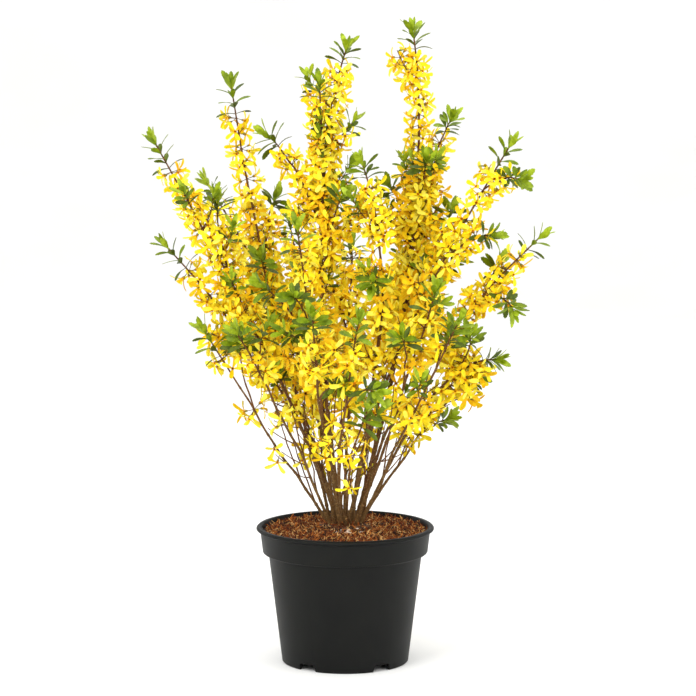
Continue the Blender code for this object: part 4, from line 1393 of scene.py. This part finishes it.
def build_pot():
    """Tapering pot with a stepped collar, a thick lip, a notched foot and drain holes."""
    lip_foot = POT_HEIGHT - LIP_HEIGHT
    lip_inner = COLLAR_TOP_RADIUS - WALL
    profile = [
        (outer_radius(FLOOR_HEIGHT) - FILLET_WALL, FLOOR_HEIGHT),
        (outer_radius(FILLET_TOP) - WALL, FILLET_TOP),
        (BODY_TOP_RADIUS - WALL, BODY_TOP_HEIGHT + STEP_WALL),
        (COLLAR_FOOT_RADIUS - WALL, COLLAR_FOOT_HEIGHT + EDGE),
        (lip_inner, POT_HEIGHT - 2 * EDGE),
        (lip_inner + EDGE, POT_HEIGHT),
        (RIM_RADIUS - RIM_ROUND, POT_HEIGHT),
        (RIM_RADIUS, POT_HEIGHT - RIM_ROUND),
        (RIM_RADIUS, lip_foot + EDGE),
        (RIM_RADIUS - LIP_INSET, lip_foot),
        (COLLAR_TOP_RADIUS, lip_foot - EDGE),
        (COLLAR_FOOT_RADIUS, COLLAR_FOOT_HEIGHT),
        (COLLAR_FOOT_RADIUS - EDGE, COLLAR_FOOT_HEIGHT - EDGE),
        (BODY_TOP_RADIUS + EDGE, BODY_TOP_HEIGHT + EDGE / 2),
        (BODY_TOP_RADIUS, BODY_TOP_HEIGHT - EDGE),
        (outer_radius(EDGE), EDGE),
        (FOOT_RADIUS - EDGE, 0),
        (FOOT_RADIUS - FOOT_RIB, 0),
        (FOOT_RADIUS - FOOT_RIB - EDGE, BASE_HEIGHT),
        (PAD_RADIUS + PAD_DRAFT, BASE_HEIGHT),
        (PAD_RADIUS, 0),
    ]
    pot = turned("nursery_pot", profile, POT_SIDES)
    apply_modifier(pot, "BEVEL", width=POT_EDGE, segments=2, limit_method="ANGLE",
                   angle_limit=math.radians(POT_BEVELLED_ABOVE))
    cut_out(pot, notch_cutter(), NOTCH_COUNT, math.radians(FIRST_NOTCH))
    cut_out(pot, drain_cutter(), DRAIN_COUNT, 0)
    smooth_up_to(pot, POT_SMOOTH_BELOW)
    dress(pot, ["pot"], [moulded_polypropylene()])


def notch_cutter():
    """A cutter with sloping sides for a notch in the foot, on the +X side."""
    bpy.ops.mesh.primitive_cube_add(size=1, location=(FOOT_RADIUS - FOOT_RIB, 0, 0))
    bpy.context.object.scale = (NOTCH_DEPTH, NOTCH_WIDTH * NOTCH_FOOT_SHARE, 2 * NOTCH_HEIGHT)
    cutter = started("notch_cutter")
    open_for_editing(cutter)
    near_top = NOTCH_HEIGHT * 0.9
    pick("FACE", lambda middle: middle.z > near_top)
    bpy.ops.transform.resize(value=(1, NOTCH_TOP_SHARE / NOTCH_FOOT_SHARE, 1))
    pick("EDGE", lambda middle: middle.z > near_top and abs(middle.y) > NOTCH_WIDTH / 4)
    bpy.ops.mesh.bevel(offset=NOTCH_ROUND, segments=NOTCH_ROUND_STEPS, affect="EDGES")
    bpy.ops.object.mode_set(mode="OBJECT")
    return cutter


def drain_cutter():
    """A cutter for a round drain hole through the base, on the +X side."""
    bpy.ops.mesh.primitive_cylinder_add(vertices=DRAIN_SIDES, radius=DRAIN_RADIUS,
                                        depth=DRAIN_DEPTH, location=(DRAIN_RING, 0, BASE_HEIGHT))
    return started("drain_cutter")


def clods(x, y):
    """Height of the uneven soil surface over its mean level."""
    place = Vector((x, y, 0))
    coarse = noise.noise(place / CLOD_SIZE)
    fine = noise.noise(place / (CLOD_SIZE * FINE_CLOD_SHARE) + FINE_CLOD_SHIFT)
    return CLOD_HEIGHT * (CLOD_WEIGHTS[0] * coarse + CLOD_WEIGHTS[1] * fine)


def soil_level(x, y):
    """Height of the ground that fibres lie on: soil, banked up to the root crown in the middle."""
    edge = COLLAR_TOP_RADIUS - WALL
    mean = SOIL_TOP + (SOIL_EDGE_HEIGHT - SOIL_TOP) * (math.hypot(x, y) / edge) ** 2
    into_bank = CROWN_RADIUS + CROWN_BANK / 2 - math.hypot(x, y - CROWN_BACK)
    rise = CROWN_HEIGHT * max(0.0, min(1.0, into_bank / CROWN_BANK))
    return mean + rise + clods(x, y) * (CLODS_ON_CROWN if rise else 1)


def build_soil():
    """Soil that fills the pot, its uneven top covered in fibres, shreds and crumbs."""
    gap = WALL + 2 * CLEARANCE
    edge = COLLAR_TOP_RADIUS - gap
    profile = [(edge * ring / SOIL_RINGS, SOIL_TOP) for ring in range(1, SOIL_RINGS + 1)]
    profile += [
        (COLLAR_FOOT_RADIUS - gap, COLLAR_FOOT_HEIGHT + EDGE + 2 * CLEARANCE),
        (BODY_TOP_RADIUS - gap, BODY_TOP_HEIGHT + STEP_WALL + 2 * CLEARANCE),
        (outer_radius(FILLET_TOP) - gap, FILLET_TOP + 2 * CLEARANCE),
        (outer_radius(FLOOR_HEIGHT) - FILLET_WALL - EDGE, FLOOR_HEIGHT + 2 * CLEARANCE),
    ]
    ground = turned("ground", profile, SOIL_SIDES)
    for corner in ground.data.vertices:
        if corner.co.z > SOIL_TOP - CLEARANCE:
            corner.co.z = soil_level(corner.co.x, corner.co.y) - SOIL_BELOW_FIBRES
    heap = Heap()
    base = Pattern.taken_from(ground)
    heap.add(base, base.points)
    strew(heap)
    soil = heap.as_piece("coir_soil")
    browns = [coir("coir_soil_dark", "1E0E05", "38200D"),
              coir("coir_red_brown", "6A2C0A", "884214"),
              coir("coir_orange_brown", "AE5C1E", "CC7E36"),
              coir("coir_light_tan", "DCA458", "F4CA8A"),
              coir("coir_umber", "221005", "3A1E0A"),
              coir("bark_chip_pale", "D6C4AC", "EEE2D2")]
    dress(soil, ["soil"], browns)


def strand_patterns(sides, flat):
    """Strands of a few faces along +Y with different bends: round fibres, or flat shreds."""
    bpy.ops.mesh.primitive_cylinder_add(vertices=sides, radius=1, depth=1, location=(0, 0, 0.5))
    strand = started("strand")
    open_for_editing(strand)
    pick("EDGE", lambda middle: 0.4 < middle.z < 0.6)
    bpy.ops.mesh.subdivide(number_cuts=STRAND_CUTS)
    for level, share in STRAND_ENDS:
        pick("VERT", lambda middle: abs(middle.z - level) < SAME)
        bpy.ops.transform.resize(value=(share, share, 1), center_override=(0, 0, level))
    bpy.ops.object.mode_set(mode="OBJECT")
    straight = Pattern.taken_from(strand)
    wide, thick = (SHRED_WIDTH, SHRED_THICKNESS) if flat else (1, 1)
    x, y, z = straight.points.T
    lying = np.stack([x * FIBRE_RADIUS * wide, z * FIBRE_LENGTH, y * FIBRE_RADIUS * thick], axis=1)
    laid = straight.with_points(lying)
    bends = [math.radians(bend) for bend in FIBRE_BENDS]
    return [laid.with_points(bent_blade(laid, FIBRE_LENGTH, math.radians(90), bend, FIBRE_TWIST))
            for bend in bends]


def crumb_pattern():
    """One small lump of soil, from a sphere with its corners pushed about."""
    bpy.ops.mesh.primitive_ico_sphere_add(subdivisions=1, radius=1, location=(0, 0, 0))
    crumb = started("crumb")
    open_for_editing(crumb)
    bpy.ops.mesh.select_all(action="SELECT")
    bpy.ops.transform.vertex_random(offset=CRUMB_ROUGHNESS, seed=CRUMB_SEED)
    bpy.ops.transform.resize(value=CRUMB_SHAPE)
    bpy.ops.object.mode_set(mode="OBJECT")
    return Pattern.taken_from(crumb)


def strew(heap):
    """Fibres, shreds, crumbs and pale chips over the soil, each of one brown."""
    dice = random.Random("coir")
    fibres, shreds, crumb = strand_patterns(3, False), strand_patterns(4, True), crumb_pattern()
    edge = COLLAR_TOP_RADIUS - WALL
    kinds = [
        (fibres, FIBRE_COUNT, 1, FIBRE_SIZES),
        (shreds, SHRED_COUNT, 1, FIBRE_SIZES),
        ([crumb], CRUMB_COUNT, CRUMB_RADIUS, CRUMB_SIZES),
    ]
    for patterns, count, unit, sizes in kinds:
        for _ in range(count):
            radius = (edge - MULCH_FROM_WALL) * math.sqrt(dice.random())
            bearing = dice.uniform(0, math.tau)
            x, y = radius * math.cos(bearing), radius * math.sin(bearing)
            pattern = dice.choice(patterns)
            size = unit * dice.uniform(*sizes)
            tilt = Matrix.Rotation(dice.gauss(0, MULCH_TILT), 3, "X")
            roll = Matrix.Rotation(dice.uniform(0, MULCH_ROLL), 3, "Y")
            turn = Matrix.Rotation(dice.uniform(0, math.tau), 3, "Z") @ (tilt @ roll)
            points = (pattern.points * size) @ np.array(turn).T
            points += (x, y, soil_level(x, y) + dice.uniform(*MULCH_LEVELS))
            if np.hypot(points[:, 0], points[:, 1]).max() > edge - MULCH_GAP:
                continue
            heap.add(pattern, points, np.array(dice.choices(LOOSE_BROWNS, BROWN_WEIGHTS)))
    for _ in range(CHIP_COUNT):
        x, y = [dice.gauss(middle, scatter) for middle, scatter in CHIP_SCATTER]
        points = crumb.points * dice.uniform(*CHIP_SIZES) * CHIP_SHAPE
        heap.add(crumb, points + (x, y, soil_level(x, y) + CHIP_LIFT), np.array([PALE_CHIP]))


def build_root_crown():
    """Low knuckled stool of old wood: a disc whose top and rim are raised in knobs."""
    foot = SOIL_TOP + CLEARANCE
    bpy.ops.mesh.primitive_cylinder_add(vertices=CROWN_SIDES, radius=CROWN_RADIUS,
                                        depth=CROWN_HEIGHT,
                                        location=(0, 0, foot + CROWN_HEIGHT / 2))
    crown = started("root_crown_wood")
    open_for_editing(crown)
    pick("FACE", lambda middle: middle.z > FOOT_LEVEL - SAME and middle.xy.length < SAME)
    for _ in range(CROWN_RINGS):
        bpy.ops.mesh.inset(thickness=CROWN_RADIUS * CROWN_RING_SHARE)
    bpy.ops.object.mode_set(mode="OBJECT")
    for corner in crown.data.vertices:
        place = corner.co.copy()
        knob = noise.noise(place / KNOB_SIZE) * KNOB_HEIGHT
        past_top = max(0.0, place.xy.length - CROWN_TOP_RADIUS)
        if place.z > foot + CROWN_HEIGHT / 2:
            corner.co.z += knob - past_top * CROWN_ROUNDING - CROWN_SINK
        else:
            corner.co.x *= 1 + knob * KNOB_SPREAD
            corner.co.y *= 1 + knob * KNOB_SPREAD
        corner.co.y += CROWN_BACK
    smooth_up_to(crown, CROWN_SMOOTH_BELOW)
    dress(crown, ["root_crown"], [old_wood()])


# Floor, light and camera

def build_studio():
    """A plain pale floor that curves up far away, a white world and soft lights."""
    floor = turned("studio_floor", FLOOR_PROFILE, FLOOR_SIDES)
    open_for_editing(floor)
    top = FLOOR_PROFILE[0][1]
    pick("FACE", lambda middle: middle.z > top - SAME)
    bpy.ops.mesh.delete(type="FACE")
    bpy.ops.mesh.select_all(action="SELECT")
    bpy.ops.mesh.flip_normals()
    bpy.ops.object.mode_set(mode="OBJECT")
    smooth_up_to(floor, FLOOR_SMOOTH_BELOW)
    floor.data.materials.append(studio_paint())
    world = bpy.data.worlds.new("white_studio")
    world.use_nodes = True
    sky = world.node_tree.nodes["Background"]
    sky.inputs["Color"].default_value = (1, 1, 1, 1)
    sky.inputs["Strength"].default_value = 1.0
    bpy.context.scene.world = world
    for name, place, width, power in SOFTBOXES:
        add_softbox(name, place, width, power)


def add_softbox(name, place, width, power):
    """A square soft light that faces the crown."""
    data = bpy.data.lights.new(name, "AREA")
    data.size = width
    data.energy = power
    light = linked(name, data)
    light.location = place
    light.rotation_euler = (LIT_POINT - Vector(place)).to_track_quat("-Z", "Y").to_euler()


def build_camera():
    """The photograph's own viewpoint: level with the crown's top, tilted down a little."""
    data = bpy.data.cameras.new("camera")
    data.lens = CAMERA_LENS
    data.sensor_width = SENSOR_WIDTH
    camera = linked("camera", data)
    camera.location = CAMERA_PLACE
    camera.rotation_euler = (math.radians(90 - CAMERA_TILT_DOWN), 0, 0)
    bpy.context.scene.camera = camera
    bpy.context.scene.view_settings.view_transform = "Standard"


build_camera()
build_pot()
build_soil()
build_root_crown()
build_plant()
build_studio()
